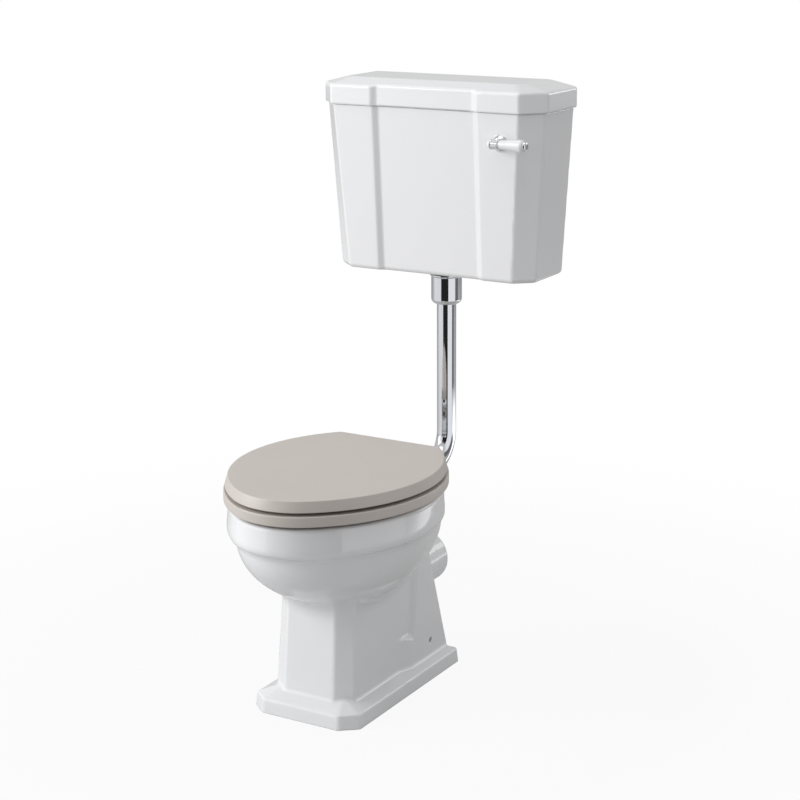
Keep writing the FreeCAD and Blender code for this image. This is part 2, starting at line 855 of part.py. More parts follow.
def pan_regions():
    """Regions of the casting's plain pieces, in the order in which they are taken from it."""
    front, back = -value("bowl_to_wall"), value("bowl_to_wall")
    top = value("pan_height + china_wall")
    shoulder, under_rim, deck = value("pedestal_top"), value("rim_joint"), value("deck_joint")
    throat_floor = value("trap_dip + trap_dip_radius")
    throat = Part.makeCylinder(
        value("trap_radius + trap_wall"),
        under_rim - throat_floor,
        FreeCAD.Vector(0, value("trap_start"), throat_floor),
    )
    outlet_floor = value("outlet_height - outlet_radius - china_wall")
    return [
        ("pan_deck", full_width_block(deck, back, shoulder, top)),
        ("pan_outlet", full_width_block(value("outlet_joint"), back, outlet_floor, shoulder)),
        ("pan_rim", full_width_block(front, deck, under_rim, top)),
        ("pan_throat", throat),
        ("pan_bowl", full_width_block(front, back, value("bowl_joint"), under_rim)),
    ]


def add_casting(label, shape):
    """One piece of the casting, at the pan's place."""
    piece = doc.addObject("Part::Feature", label)
    piece.Label = label
    piece.Shape = shape
    place(piece, back="middle")
    sub_parts.append(piece)


def make_pan():
    """Whole casting, hollow where the real one is, divided into plain pieces that meet face to face."""
    solid = foot_solid().cut(foot_hollow())
    path = trap_path()
    inlet_start = value("mouth_back")
    outlet_start = value("pedestal_top_back")
    solid = solid.fuse(
        [
            bowl_loft(
                value("bowl_half_width"),
                value("bowl_reach"),
                value("bowl_back"),
                value("bowl_radius"),
                value("crease"),
                value("bowl_depth"),
            ),
            rim_solid(),
            deck_solid(),
            level_bar(value("horn_radius"), inlet_start, value("horn_back"), value("pipe_floor")),
            swept(path, value("trap_radius + trap_wall")),
            level_bar(value("outlet_radius"), outlet_start, value("outlet_back"), value("outlet_height")),
            level_bar(
                value("outlet_radius + outlet_step"),
                outlet_start,
                value("outlet_back - outlet_spigot"),
                value("outlet_height"),
            ),
        ]
    )
    wall = value("china_wall")
    mouth_bottom = value("crease") + wall
    mouth = [
        egg_wire(
            value("mouth_half_width"),
            value("mouth_reach"),
            value("mouth_back"),
            value("mouth_radius"),
            value("mouth_corner"),
            height,
        )
        for height in (mouth_bottom - 2, value("pan_height") + 1)
    ]
    bowl_space = bowl_loft(
        value("bowl_half_width") - wall,
        value("bowl_reach") - wall,
        value("bowl_back") - wall,
        value("bowl_radius") - wall,
        mouth_bottom,
        value("bowl_depth"),
    )
    outlet_space = level_bar(
        value("outlet_radius - outlet_wall"),
        value("outlet_back - outlet_radius"),
        value("outlet_back") + 1,
        value("outlet_height"),
    )
    spaces = [
        Part.makeLoft(mouth, True, True),
        bowl_space,
        swept(path, value("trap_radius")),
        outlet_space,
        level_bar(value("horn_bore"), inlet_start, value("horn_back") + 1, value("pipe_floor")),
    ]
    for side in (1, -1):
        stud = [side * value("hinge_half_spacing"), value("hinge_back"), value("deck_bottom") - 1]
        stud_hole = value("stud_hole_radius"), value("deck_thickness") + 2
        spaces.append(Part.makeCylinder(*stud_hole, FreeCAD.Vector(*stud)))
        half = value("pedestal_half_width")
        screw = FreeCAD.Vector(side * half / 2, value("floor_hole_back"), value("floor_hole_height"))
        heading = FreeCAD.Vector(side, 0, 0)
        spaces.append(Part.makeCylinder(value("floor_hole_radius"), half, screw, heading))
    rest = solid.cut(spaces).removeSplitter()
    for label, region in pan_regions():
        add_casting(label, rest.common(region))
        rest = rest.cut(region)
    add_casting("pan_foot", rest)


# Seat: ring, lid, rubber pads and the hinge at the back.


def make_seat_ring():
    """Flat wooden ring with rounded edges."""
    body = new_body("seat_ring")
    outline = [f"seat_{name}" for name in ("half_width", "reach", "back", "radius", "corner")]
    face = draw_egg(new_sketch(body, "XY_Plane"), *outline)
    draw_egg(face, "hole_half_width", "hole_reach", "hole_back", "hole_radius", "hole_corner")
    base = pad(body, face, "ring_thickness")
    for sign in (1, -1):
        leaf = f"{sign} * (pillar_outer + knuckle_gap + knuckle_width / 2)"
        holes = new_sketch(body, "XY_Plane", lift="ring_thickness")
        for along in LEAF_SCREWS:
            draw_circle(holes, leaf, f"{along} + seat_forward", "screw_radius + running_gap")
        base = pocket(body, holes, "screw_length")
    round_edges(body, base, "ring_edge", lambda edge: edge.BoundBox.ZLength < 0.01 and edge.Length > 20)
    place(body, back="seat_middle", up="ring_bottom")


def make_seat_lid():
    """Solid wooden cover whose edge leans in from the bottom to the top."""
    body = new_body("seat_lid")
    sections = []
    for lift, inset, corner in (
        ("0", "lid_setback", "seat_corner"),
        ("lid_thickness", "lid_setback + lid_taper", "seat_corner - lid_taper"),
    ):
        face = new_sketch(body, "XY_Plane", lift=lift)
        draw_egg(
            face,
            f"seat_half_width - ({inset})",
            f"seat_reach - ({inset})",
            f"seat_back - ({inset})",
            f"seat_radius - ({inset})",
            corner,
        )
        sections.append(face)
    loft(body, sections)
    for sign in (1, -1):
        leaf = f"{sign} * (pillar_inner - knuckle_gap - knuckle_width / 2)"
        holes = new_sketch(body, "XY_Plane")
        for along in LEAF_SCREWS:
            draw_circle(holes, leaf, f"{along} + seat_forward", "screw_radius + running_gap")
        pocket(body, holes, "screw_length", reverse=True)
    place(body, back="seat_middle", up="lid_bottom")


def make_buffers():
    """Rubber pads: four under the ring, on the pan, and four under the lid, on the ring."""
    for label, height, base in (
        ("seat_buffers", "seat_lift", "pan_height"),
        ("lid_buffers", "lid_gap", "ring_top"),
    ):
        body = new_body(label)
        face = new_sketch(body, "XY_Plane")
        for sign in ("", "-"):
            draw_circle(face, f"{sign}buffer_front_half", "-buffer_front", "buffer_radius")
            draw_circle(face, f"{sign}buffer_rear_half", "buffer_rear", "buffer_radius")
        pad(body, face, height)
        place(body, back="middle", up=base)


def make_hinge_pillars():
    """Two posts on the deck, each with a level barrel for the bar."""
    body = new_body("hinge_pillars")
    for sign in (1, -1):
        across = f"{sign} * hinge_half_spacing"
        post = draw(
            new_sketch(body, "XZ_Plane", across=across),
            [
                ("stud_radius + running_gap", "0"),
                ("pillar_flange_radius", "0"),
                ("pillar_flange_radius", "pillar_flange / 2"),
                ("pillar_stem_radius", "pillar_flange"),
                ("pillar_stem_radius", "hinge_height - pan_height"),
                ("0", "hinge_height - pan_height"),
                ("0", "stud_grip"),
                ("stud_radius + running_gap", "stud_grip"),
            ],
        )
        turn(body, post)
        barrel = draw_circle(
            new_sketch(body, "YZ_Plane", lift=across),
            "0",
            "hinge_height - pan_height",
            "pillar_barrel_radius",
        )
        pad(body, barrel, "pillar_barrel", both_ways=True)
        bore = draw_circle(
            new_sketch(body, "YZ_Plane", lift=across),
            "0",
            "hinge_height - pan_height",
            "hinge_bar_radius + running_gap",
        )
        pocket(body, bore, "pillar_barrel + 2", both_ways=True)
    place(body, back="middle + hinge_back", up="pan_height")


def make_hinge_bar():
    """Straight bar through both posts and all four knuckles."""
    body = new_body("hinge_bar")
    base = pad(
        body,
        draw_circle(new_sketch(body, "YZ_Plane"), "0", "0", "hinge_bar_radius"),
        "2 * hinge_bar_half",
        both_ways=True,
    )
    round_edges(body, base, "hinge_bar_radius / 4", lambda edge: edge.BoundBox.XLength < 0.01)
    place(body, back="middle + hinge_back", up="hinge_height")


def make_knuckles(label, screws_label, centre, leaf_side):
    """Two hinge leaves with round knuckles, and the countersunk screws that hold them.

    The leaf lies above the bar's axis for the lid and below it for the ring.
    """
    body = new_body(label)
    screws = new_body(screws_label)
    far = f"{leaf_side} * lid_gap / 2"
    near = f"{leaf_side} * (lid_gap / 2 - leaf_thickness)"
    low, high = (near, far) if leaf_side > 0 else (far, near)
    for sign in (1, -1):
        across = f"{sign} * ({centre})"
        barrel = draw_circle(new_sketch(body, "YZ_Plane", lift=across), "0", "0", "knuckle_radius")
        pad(body, barrel, "knuckle_width", both_ways=True)
        leaf = draw(
            new_sketch(body, "YZ_Plane", lift=across),
            [("-leaf_length", low), ("0", low), ("0", high), ("-leaf_length", high)],
        )
        pad(body, leaf, "knuckle_width - 2", both_ways=True)
        bore = draw_circle(
            new_sketch(body, "YZ_Plane", lift=across), "0", "0", "hinge_bar_radius + running_gap"
        )
        pocket(body, bore, "knuckle_width + 2", both_ways=True)
        for along in LEAF_SCREWS:
            make_leaf_screw(body, screws, across, f"({along}) - hinge_back", leaf_side, near)
    for thing in (body, screws):
        place(thing, back="middle + hinge_back", up="hinge_height")


def make_leaf_screw(body, screws, across, along, leaf_side, face):
    """One countersunk screw and its hole in the leaf, on an upright axis.

    The head lies flush in the leaf's free face and the shank runs on into the wood.
    """
    for target, gap, cut in ((body, "running_gap", True), (screws, "0", False)):
        profile = draw(
            new_sketch(target, "XZ_Plane", lift=f"-({along})", across=across),
            [
                ("0", face),
                (f"screw_head_radius + {gap}", face),
                (f"screw_radius + {gap}", f"{face} + {leaf_side} * screw_head"),
                (f"screw_radius + {gap}", f"{face} + {leaf_side} * screw_length"),
                ("0", f"{face} + {leaf_side} * screw_length"),
            ],
        )
        turn(target, profile, cut=cut)


def make_hinge_fixings():
    """Studs through the deck, with rubber washers and wing nuts below it."""
    studs = new_body("hinge_studs")
    washers = new_body("hinge_washers")
    nuts = new_body("hinge_wing_nuts")
    for sign in (1, -1):
        across = f"{sign} * hinge_half_spacing"
        pad(studs, draw_circle(new_sketch(studs, "XY_Plane"), across, "0", "stud_radius"), "stud_length")
        face = draw_circle(new_sketch(washers, "XY_Plane"), across, "0", "stud_washer_radius")
        draw_circle(face, across, "0", "stud_radius + running_gap")
        pad(washers, face, "stud_washer")
        pad(
            nuts,
            draw_circle(new_sketch(nuts, "XY_Plane"), across, "0", "wing_nut_hub_radius"),
            "wing_nut_hub",
            reverse=True,
        )
        wing = draw(
            new_sketch(nuts, "XZ_Plane", across=across),
            [
                ("-wing_span / 2", "-wing_height"),
                ("wing_span / 2", "-wing_height"),
                ("wing_nut_hub_radius", "0"),
                ("-wing_nut_hub_radius", "0"),
            ],
        )
        pad(nuts, wing, "wing_thickness", both_ways=True)
        bore = draw_circle(new_sketch(nuts, "XY_Plane"), across, "0", "stud_radius + running_gap")
        pocket(nuts, bore, "4 * wing_height", both_ways=True)
    place(studs, back="middle + hinge_back", up="pan_height + stud_grip - stud_length")
    place(washers, back="middle + hinge_back", up="deck_bottom - stud_washer")
    place(nuts, back="middle + hinge_back", up="deck_bottom - stud_washer")


# Flush pipe, its union nut and its rubber seals.


def make_flush_pipe():
    """Chromed tube: down from the cistern, round one bend and forward into the pan."""
    body = new_body("flush_pipe")
    path = draw(
        new_sketch(body, "YZ_Plane"),
        [
            ("0", "pipe_top - pipe_floor"),
            ("0", "pipe_bend", "-pipe_bend"),
            ("-pipe_bend", "0"),
            ("middle + pipe_end_back - pipe_place", "0"),
        ],
        closed=False,
    )
    doc.recompute()
    for radius, cut in (("pipe_radius", False), ("pipe_radius - pipe_wall", True)):
        ring = draw_circle(new_sketch(body, "XY_Plane", lift="pipe_top - pipe_floor"), "0", "0", radius)
        pipe(body, ring, path, 3, cut=cut)
    collar = draw_circle(
        new_sketch(body, "XY_Plane", lift="pipe_top - pipe_floor"), "0", "0", "pipe_collar_radius"
    )
    draw_circle(collar, "0", "0", "pipe_radius - pipe_wall")
    pad(body, collar, "pipe_collar", reverse=True)
    place(body, back="pipe_place", up="pipe_floor")


def make_union_nut():
    """Round cup nut with a rounded foot and a thin flange, threaded on the siphon's tail."""
    body = new_body("flush_pipe_nut")
    profile = draw(
        new_sketch(body, "XZ_Plane"),
        [
            ("pipe_radius + clear_gap", "0"),
            ("union_radius - union_round", "0", "union_round"),
            ("union_radius", "union_round"),
            ("union_radius", "union_height - union_flange"),
            ("union_flange_radius", "union_height - union_flange / 2"),
            ("union_flange_radius", "union_height"),
            ("siphon_tail_radius + running_gap", "union_height"),
            ("siphon_tail_radius + running_gap", "union_lip"),
            ("pipe_radius + clear_gap", "union_lip"),
        ],
    )
    turn(body, profile)
    place(body, back="pipe_place", up="union_bottom")


def make_pipe_seals():
    """Rubber ring under the siphon's tail and rubber cone in the pan's inlet."""
    ring = washer("flush_pipe_washer", "pipe_collar_radius", "pipe_radius - pipe_wall", "pipe_washer")
    place(ring, back="pipe_place", up="pipe_top")
    cone = new_body("inlet_cone")
    profile = draw(
        new_sketch(cone, "XY_Plane"),
        [
            ("pipe_radius + running_gap", "-2 * cone_length"),
            ("horn_bore - clear_gap", "-2 * cone_length"),
            ("horn_bore - clear_gap", "0"),
            ("horn_radius", "0"),
            ("horn_radius", "cone_flange"),
            ("pipe_radius + cone_flange / 2", "cone_flange + cone_length"),
            ("pipe_radius + running_gap", "cone_flange + cone_length"),
        ],
    )
    turn(cone, profile)
    place(cone, back="middle + horn_back", up="pipe_floor")


# Cistern and its lid.


def soft_chamfer(side, start, stop, front):
    """Chamfer across a front corner, with its own two corners rounded, from the back to the front."""
    across = f"(({side}) - ({stop}))"
    along = f"(({start}) - ({front}))"
    slant = f"sqrt({across} * {across} + {along} * {along})"
    soft = "cistern_edge"
    return [
        (side, f"{start} + {soft}", f"-{soft} * {across} / ({slant} - {along})"),
        (f"{side} - {soft} * {across} / {slant}", f"{start} - {soft} * {along} / {slant}"),
        (
            f"{stop} + {soft} * {across} / {slant}",
            f"{front} + {soft} * {along} / {slant}",
            f"-{soft} * {along} / ({slant} - {across})",
        ),
        (f"{stop} - {soft}", front),
    ]


def mirrored_outline(right):
    """Closed outline from its right half, which runs from the back to the front."""
    left = []
    for index in reversed(range(len(right))):
        bend = right[index - 1][2:] if index else ()
        left.append((f"-({right[index][0]})", right[index][1]) + bend)
    return left + right


def panel_corners(front):
    """Edge of the pilaster and of the panel that lies back between the two pilasters."""
    return [("panel_half_width + panel_bevel", front), ("panel_half_width", f"panel_recess + {front}")]


def tank_outline(height, inset="0", spare="0"):
    """Corners of the tank's plan at a height: straight back, chamfered front corners, two pilasters.

    The inset moves every side inwards, and spare lets the back stand out past the wall.
    """

    def leaning(name):
        low, high = f"cistern_bottom_{name}", f"cistern_top_{name}"
        return f"({low} + ({high} - {low}) * ({height}) / cistern_height)"

    side = f"{leaning('half')} - ({inset})"
    start = f"{leaning('chamfer')} + ({inset}) / 2 - {leaning('depth')}"
    stop = f"{leaning('half')} - cistern_chamfer_width - ({inset}) / 2"
    front = f"({inset}) - {leaning('depth')}"
    right = [(side, f"{spare} - ({inset})")] + soft_chamfer(side, start, stop, front)
    return mirrored_outline(right + panel_corners(front))


def make_cistern():
    """Tank that widens upwards, with two pilasters on its front, a foot rim and its holes."""
    body = new_body("cistern")

    def section(height, inset="0", spare="0"):
        return draw(new_sketch(body, "XY_Plane", lift=height), tank_outline(height, inset, spare))

    outside = (("0", "cistern_edge"), ("cistern_edge", "0"), ("cistern_height", "0"))
    loft(body, [section(height, inset, "cistern_trim") for height, inset in outside])
    inside = ("cistern_foot + cistern_floor", "cistern_height")
    loft(body, [section(height, "cistern_wall") for height in inside], cut=True)
    ground = draw(
        new_sketch(body, "XZ_Plane"),
        [
            ("-cistern_top_half - cistern_trim", "-cistern_trim"),
            ("cistern_top_half + cistern_trim", "-cistern_trim"),
            ("cistern_top_half + cistern_trim", "cistern_height + cistern_trim"),
            ("-cistern_top_half - cistern_trim", "cistern_height + cistern_trim"),
        ],
    )
    pocket(body, ground, "2 * cistern_trim")
    pocket(body, section("0", "cistern_foot_width"), "cistern_foot", reverse=True)
    holes = draw_circle(
        new_sketch(body, "XY_Plane"), "0", "-pipe_to_wall", "siphon_tail_radius + clear_gap"
    )
    draw_circle(holes, "-fill_offset", "-fill_to_wall", "fill_tail_radius + clear_gap")
    pocket(body, holes, "tank_floor - cistern_bottom + 1", reverse=True)
    fixings = new_sketch(body, "XZ_Plane")
    for sign in ("", "-"):
        draw_circle(fixings, f"{sign}fixing_half_spacing", "fixing_height", "fixing_radius")
    pocket(body, fixings, "4 * cistern_wall", both_ways=True)
    for radius, length, both_ways in (
        ("lever_seat_radius", "cistern_wall", False),
        ("bush_radius + clear_gap", "4 * cistern_wall", True),
    ):
        face = new_sketch(body, "XZ_Plane", lift="lever_seat")
        draw_circle(face, "lever_offset", "lever_height", radius)
        pocket(body, face, length, both_ways=both_ways, reverse=True)
    place(body, back="wall", up="cistern_bottom")


def cover_outline(inset="0"):
    """Corners of the cistern lid's plan, which follows the tank's."""
    side = f"cover_half_width - ({inset})"
    start = f"cover_chamfer + ({inset}) / 2 - cover_depth"
    stop = f"cover_half_width - cover_chamfer_width - ({inset}) / 2"
    front = f"({inset}) - cover_depth"
    right = [(side, f"-cover_setback - ({inset})")] + soft_chamfer(side, start, stop, front)
    return mirrored_outline(right + panel_corners(front))


def plateau_outline():
    """Corners of the flat on top of the cistern lid."""
    side, front = "cover_plateau_half", "-cover_plateau_front"
    start, stop = "cover_chamfer - cover_plateau_front", "cover_plateau_half - cover_chamfer_width"
    right = [(side, "-cover_plateau_back")] + soft_chamfer(side, start, stop, front)
    right += [("panel_half_width + panel_bevel", front), ("panel_half_width", f"{front} + cover_slack")]
    return mirrored_outline(right)


def make_cistern_lid():
    """Lid with an upright band, a low hipped top, a hollow underside and a locating lip."""
    body = new_body("cistern_lid")
    loft(
        body,
        [
            draw(new_sketch(body, "XY_Plane"), cover_outline()),
            draw(new_sketch(body, "XY_Plane", lift="cover_band"), cover_outline()),
            draw(new_sketch(body, "XY_Plane", lift="cover_band + cover_rise"), plateau_outline()),
        ],
    )
    hollow = draw(new_sketch(body, "XY_Plane"), cover_outline("cover_border"))
    pocket(body, hollow, "cover_hollow", reverse=True)
    lip = new_sketch(body, "XY_Plane")
    for inset in ("cistern_wall + cover_lip_gap", "cistern_wall + cover_lip_gap + cover_lip_width"):
        draw(lip, tank_outline("cistern_height", inset))
    pad(body, lip, "cover_lip", reverse=True)
    place(body, back="wall", up="tank_top")


# Siphon: a chamber with a lifting plate, joined over a crown to the leg that leaves the tank.


def make_siphon():
    """Siphon body with its tail through the tank's floor, its washer and its back nut."""
    body = new_body("siphon_body")
    low = "tail_end - tank_floor"
    seat = "siphon_washer"
    leg = draw(
        new_sketch(body, "XZ_Plane"),
        [
            ("0", low),
            ("siphon_tail_radius", low),
            ("siphon_tail_radius", seat),
            ("siphon_flange_radius", seat),
            ("siphon_flange_radius", f"{seat} + siphon_flange"),
            ("siphon_leg_radius", f"{seat} + siphon_flange"),
            ("siphon_leg_radius", "siphon_crown_height"),
            ("0", "siphon_crown_height"),
        ],
    )
    turn(body, leg)
    rim = "chamber_lift + chamber_height"
    chamber = draw(
        new_sketch(body, "XZ_Plane", across="rod_offset"),
        [
            ("0", "chamber_lift"),
            ("chamber_radius", "chamber_lift"),
            ("chamber_radius", rim),
            ("siphon_leg_radius", f"{rim} + chamber_cone"),
            ("siphon_leg_radius", "siphon_crown_height"),
            ("0", "siphon_crown_height"),
        ],
    )
    turn(body, chamber)
    arch = draw(
        new_sketch(body, "XZ_Plane"),
        [
            ("0", "siphon_crown_height", "-crown_bend"),
            ("crown_bend", "siphon_crown_height + crown_bend", "-crown_bend"),
            ("2 * crown_bend", "siphon_crown_height"),
        ],
        closed=False,
    )
    doc.recompute()
    crown = new_sketch(body, "XY_Plane", lift="siphon_crown_height")
    pipe(body, draw_circle(crown, "0", "0", "siphon_leg_radius"), arch, 2)
    guide = draw_circle(
        new_sketch(body, "XY_Plane", lift="siphon_crown_height + crown_bend"),
        "rod_offset",
        "0",
        "guide_radius",
    )
    pad(body, guide, "guide_height - crown_bend")
    pipe(
        body,
        draw_circle(new_sketch(body, "XY_Plane", lift="siphon_crown_height"), "0", "0", "siphon_bore"),
        arch,
        2,
        cut=True,
    )
    down = draw_circle(new_sketch(body, "XY_Plane", lift="siphon_crown_height"), "0", "0", "siphon_bore")
    pocket(body, down, f"siphon_crown_height - ({low}) + 1")
    room = draw(
        new_sketch(body, "XZ_Plane", across="rod_offset"),
        [
            ("0", "chamber_lift - 1"),
            ("chamber_bore", "chamber_lift - 1"),
            ("chamber_bore", rim),
            ("siphon_bore", f"{rim} + chamber_cone"),
            ("siphon_bore", "siphon_crown_height"),
            ("0", "siphon_crown_height"),
        ],
    )
    turn(body, room, cut=True)
    rod_way = draw_circle(
        new_sketch(body, "XY_Plane", lift="siphon_crown_height + guide_height"),
        "rod_offset",
        "0",
        "plunger_rod_radius + clear_gap",
    )
    pocket(body, rod_way, "guide_height + 1")
    place(body, back="pipe_place", up="tank_floor")
    thread = "siphon_tail_radius + running_gap"
    seal = washer("siphon_washer", "siphon_flange_radius", thread, "siphon_washer")
    place(seal, back="pipe_place", up="tank_floor")
    nut = hex_nut("siphon_back_nut", "siphon_nut_radius", thread, "siphon_nut")
    place(nut, back="pipe_place", up="tank_under - siphon_nut")


def make_plunger():
    """What lifts in the siphon: rod with an eye, plate, flap and the hook up to the lever's arm."""
    rod = new_body("plunger_rod")
    base = "eye_height - plate_bottom"
    pad(rod, draw_circle(new_sketch(rod, "XY_Plane"), "0", "0", "plunger_rod_radius"), base)
    eye = draw_circle(new_sketch(rod, "XZ_Plane"), "0", base, "eye_radius")
    pad(rod, eye, "eye_thickness", both_ways=True)
    hole = draw_circle(new_sketch(rod, "XZ_Plane"), "0", base, "hook_radius + clear_gap")
    pocket(rod, hole, "2 * eye_thickness", both_ways=True)
    place(rod, "rod_offset", "pipe_place", "plate_bottom")
    bore = "plunger_rod_radius + running_gap"
    plate = washer("plunger_plate", "plunger_plate_radius", bore, "plunger_plate")
    place(plate, "rod_offset", "pipe_place", "plate_bottom")
    flap = washer("plunger_diaphragm", "plunger_plate_radius + 1", bore, "diaphragm")
    place(flap, "rod_offset", "pipe_place", "plate_bottom + plunger_plate")
    hook = new_body("lift_hook")
    side = "hook_half_width"
    path = draw(
        new_sketch(hook, "YZ_Plane"),
        [
            (f"-{side}", "0"),
            (f"{side} - hook_bend", "0", "hook_bend"),
            (side, "hook_bend"),
            (side, "hook_length - hook_bend", "hook_bend"),
            (f"{side} - hook_bend", "hook_length"),
            (f"-{side}", "hook_length"),
        ],
        closed=False,
    )
    doc.recompute()
    wire = draw_circle(new_sketch(hook, "XZ_Plane", lift=side), "0", "0", "hook_radius")
    pipe(hook, wire, path, 5)
    place(hook, "rod_offset", "pipe_place", "eye_height")


# Flush lever.


def make_lever_bush():
    """Domed chrome collar in the tank's wall, its rubber washer and its nut inside."""
    body = new_body("lever_bush")
    profile = draw(
        new_sketch(body, "XY_Plane"),
        [
            ("spindle_radius + running_gap", "-bush_dome"),
            ("bush_radius", "-bush_dome", "1.2 * bush_dome"),
            ("bush_flange_radius", "-bush_rim"),
            ("bush_flange_radius", "0"),
            ("bush_radius", "0"),
            ("bush_radius", "bush_length"),
            ("spindle_radius + running_gap", "bush_length"),
        ],
    )
    turn(body, profile)
    place(body, "lever_offset", "lever_front", "lever_place")
    for label, outer, length, start in (
        ("lever_bush_washer", None, "bush_washer", "0"),
        ("lever_bush_nut", "bush_nut_radius", "bush_nut", "bush_washer"),
    ):
        ring = new_body(label)
        face = new_sketch(ring, "XZ_Plane", lift=f"-({start})")
        if outer:
            draw_hexagon(face, outer)
        else:
            draw_circle(face, "0", "0", "bush_nut_radius")
        draw_circle(face, "0", "0", "bush_radius + running_gap")
        pad(ring, face, length, reverse=True)
        place(ring, "lever_offset", "wall - nut_seat", "lever_place")


def make_lever_outside():
    """Chrome boss, white handle with its chrome end cap and stud, and the short white ball."""
    boss = new_body("lever_boss")
    neck = draw(
        new_sketch(boss, "XY_Plane"),
        [
            ("0", "-boss_reach"),
            ("boss_neck_radius", "-boss_reach"),
            ("boss_neck_radius", "-bush_dome - clear_gap"),
            ("0", "-bush_dome - clear_gap"),
        ],
    )
    turn(boss, neck)
    bar = draw_circle(new_sketch(boss, "YZ_Plane", lift="-boss_left"), "-boss_reach", "0", "boss_radius")
    pad(boss, bar, "boss_left + boss_right")
    socket = draw(
        new_sketch(boss, "XY_Plane"),
        [
            ("0", "-bush_dome - boss_socket"),
            ("spindle_radius + running_gap", "-bush_dome - boss_socket"),
            ("spindle_radius + running_gap", "-bush_dome"),
            ("0", "-bush_dome"),
        ],
    )
    turn(boss, socket, cut=True)
    bore = draw_circle(
        new_sketch(boss, "YZ_Plane", lift="-boss_left"),
        "-boss_reach",
        "0",
        "handle_stud_radius + running_gap",
    )
    pocket(boss, bore, "boss_left + boss_right + 1", reverse=True)
    place(boss, "lever_offset", "lever_front", "lever_place")

    handle = new_body("lever_handle")
    grip = draw(
        new_sketch(handle, "XY_Plane"),
        [
            ("0", "handle_stud_radius + running_gap"),
            ("handle_length", "handle_stud_radius + running_gap"),
            ("handle_length", "handle_end_radius", "1.2 * (handle_length - handle_swell_length)"),
            ("handle_swell_length", "handle_swell_radius"),
            ("0", "handle_root_radius"),
        ],
    )
    turn(handle, grip, "H_Axis")
    place(handle, "lever_offset + boss_right", "lever_front - boss_reach", "lever_place")

    cap = new_body("lever_end_cap")
    shape = draw(
        new_sketch(cap, "XY_Plane"),
        [
            ("-handle_length - handle_stud_grip", "0"),
            ("end_cap_length", "0", "1.1 * end_cap_radius"),
            ("end_cap_length / 3", "end_cap_radius"),
            ("0", "end_cap_radius"),
            ("0", "handle_stud_radius"),
            ("-handle_length - handle_stud_grip", "handle_stud_radius"),
        ],
    )
    turn(cap, shape, "H_Axis")
    place(cap, "lever_offset + boss_right + handle_length", "lever_front - boss_reach", "lever_place")

    ball = new_body("lever_ball")
    knob = draw(
        new_sketch(ball, "XY_Plane"),
        [
            ("-ball_length", "0"),
            ("handle_stud_grip", "0"),
            ("handle_stud_grip", "handle_stud_radius"),
            ("0", "handle_stud_radius"),
            ("0", "ball_radius"),
            ("ball_radius - ball_length", "ball_radius", "ball_radius"),
        ],
    )
    turn(ball, knob, "H_Axis")
    place(ball, "lever_offset - boss_left", "lever_front - boss_reach", "lever_place")


def make_lever_inside():
    """Spindle through the bush, and the slotted arm that its set screw clamps on it."""
    spindle = new_body("lever_spindle")
    start = "-bush_dome - boss_socket + running_gap"
    stop = "pipe_place - lever_front + arm_hub / 2 + 2"
    rod = draw_circle(new_sketch(spindle, "XZ_Plane", lift=f"-({start})"), "0", "0", "spindle_radius")
    pad(spindle, rod, f"{stop} - ({start})", reverse=True)
    place(spindle, "lever_offset", "lever_front", "lever_place")

    arm = new_body("lever_arm")
    hub = draw_circle(new_sketch(arm, "XZ_Plane"), "0", "0", "arm_hub_radius")
    pad(arm, hub, "arm_hub", both_ways=True)
    tip = "arm_length + arm_slot / 2 + arm_height / 2"
    bar = draw(
        new_sketch(arm, "XZ_Plane"),
        [
            (f"-({tip})", "-arm_height / 2"),
            ("0", "-arm_height / 2"),
            ("0", "arm_height / 2"),
            (f"-({tip})", "arm_height / 2"),
        ],
    )
    pad(arm, bar, "arm_thickness", both_ways=True)
    slot = draw(
        new_sketch(arm, "XZ_Plane"),
        [
            ("-arm_length - arm_slot / 2", "-arm_slot_height / 2"),
            ("-arm_length + arm_slot / 2", "-arm_slot_height / 2"),
            ("-arm_length + arm_slot / 2", "arm_slot_height / 2"),
            ("-arm_length - arm_slot / 2", "arm_slot_height / 2"),
        ],
    )
    pocket(arm, slot, "2 * arm_thickness", both_ways=True)
    bore = draw_circle(new_sketch(arm, "XZ_Plane"), "0", "0", "spindle_radius + running_gap")
    pocket(arm, bore, "2 * arm_hub", both_ways=True)
    thread = draw_circle(new_sketch(arm, "XY_Plane"), "0", "0", "arm_screw_radius + running_gap")
    pocket(arm, thread, "2 * arm_hub_radius", reverse=True)
    place(arm, "lever_offset", "pipe_place", "lever_place", "-arm_drop")

    screw = new_body("lever_arm_screw")
    shank = new_sketch(screw, "XY_Plane", lift="spindle_radius")
    draw_circle(shank, "0", "0", "arm_screw_radius")
    pad(screw, shank, "arm_screw_length")
    place(screw, "lever_offset", "pipe_place", "lever_place", "-arm_drop")


# Fill valve and its float.


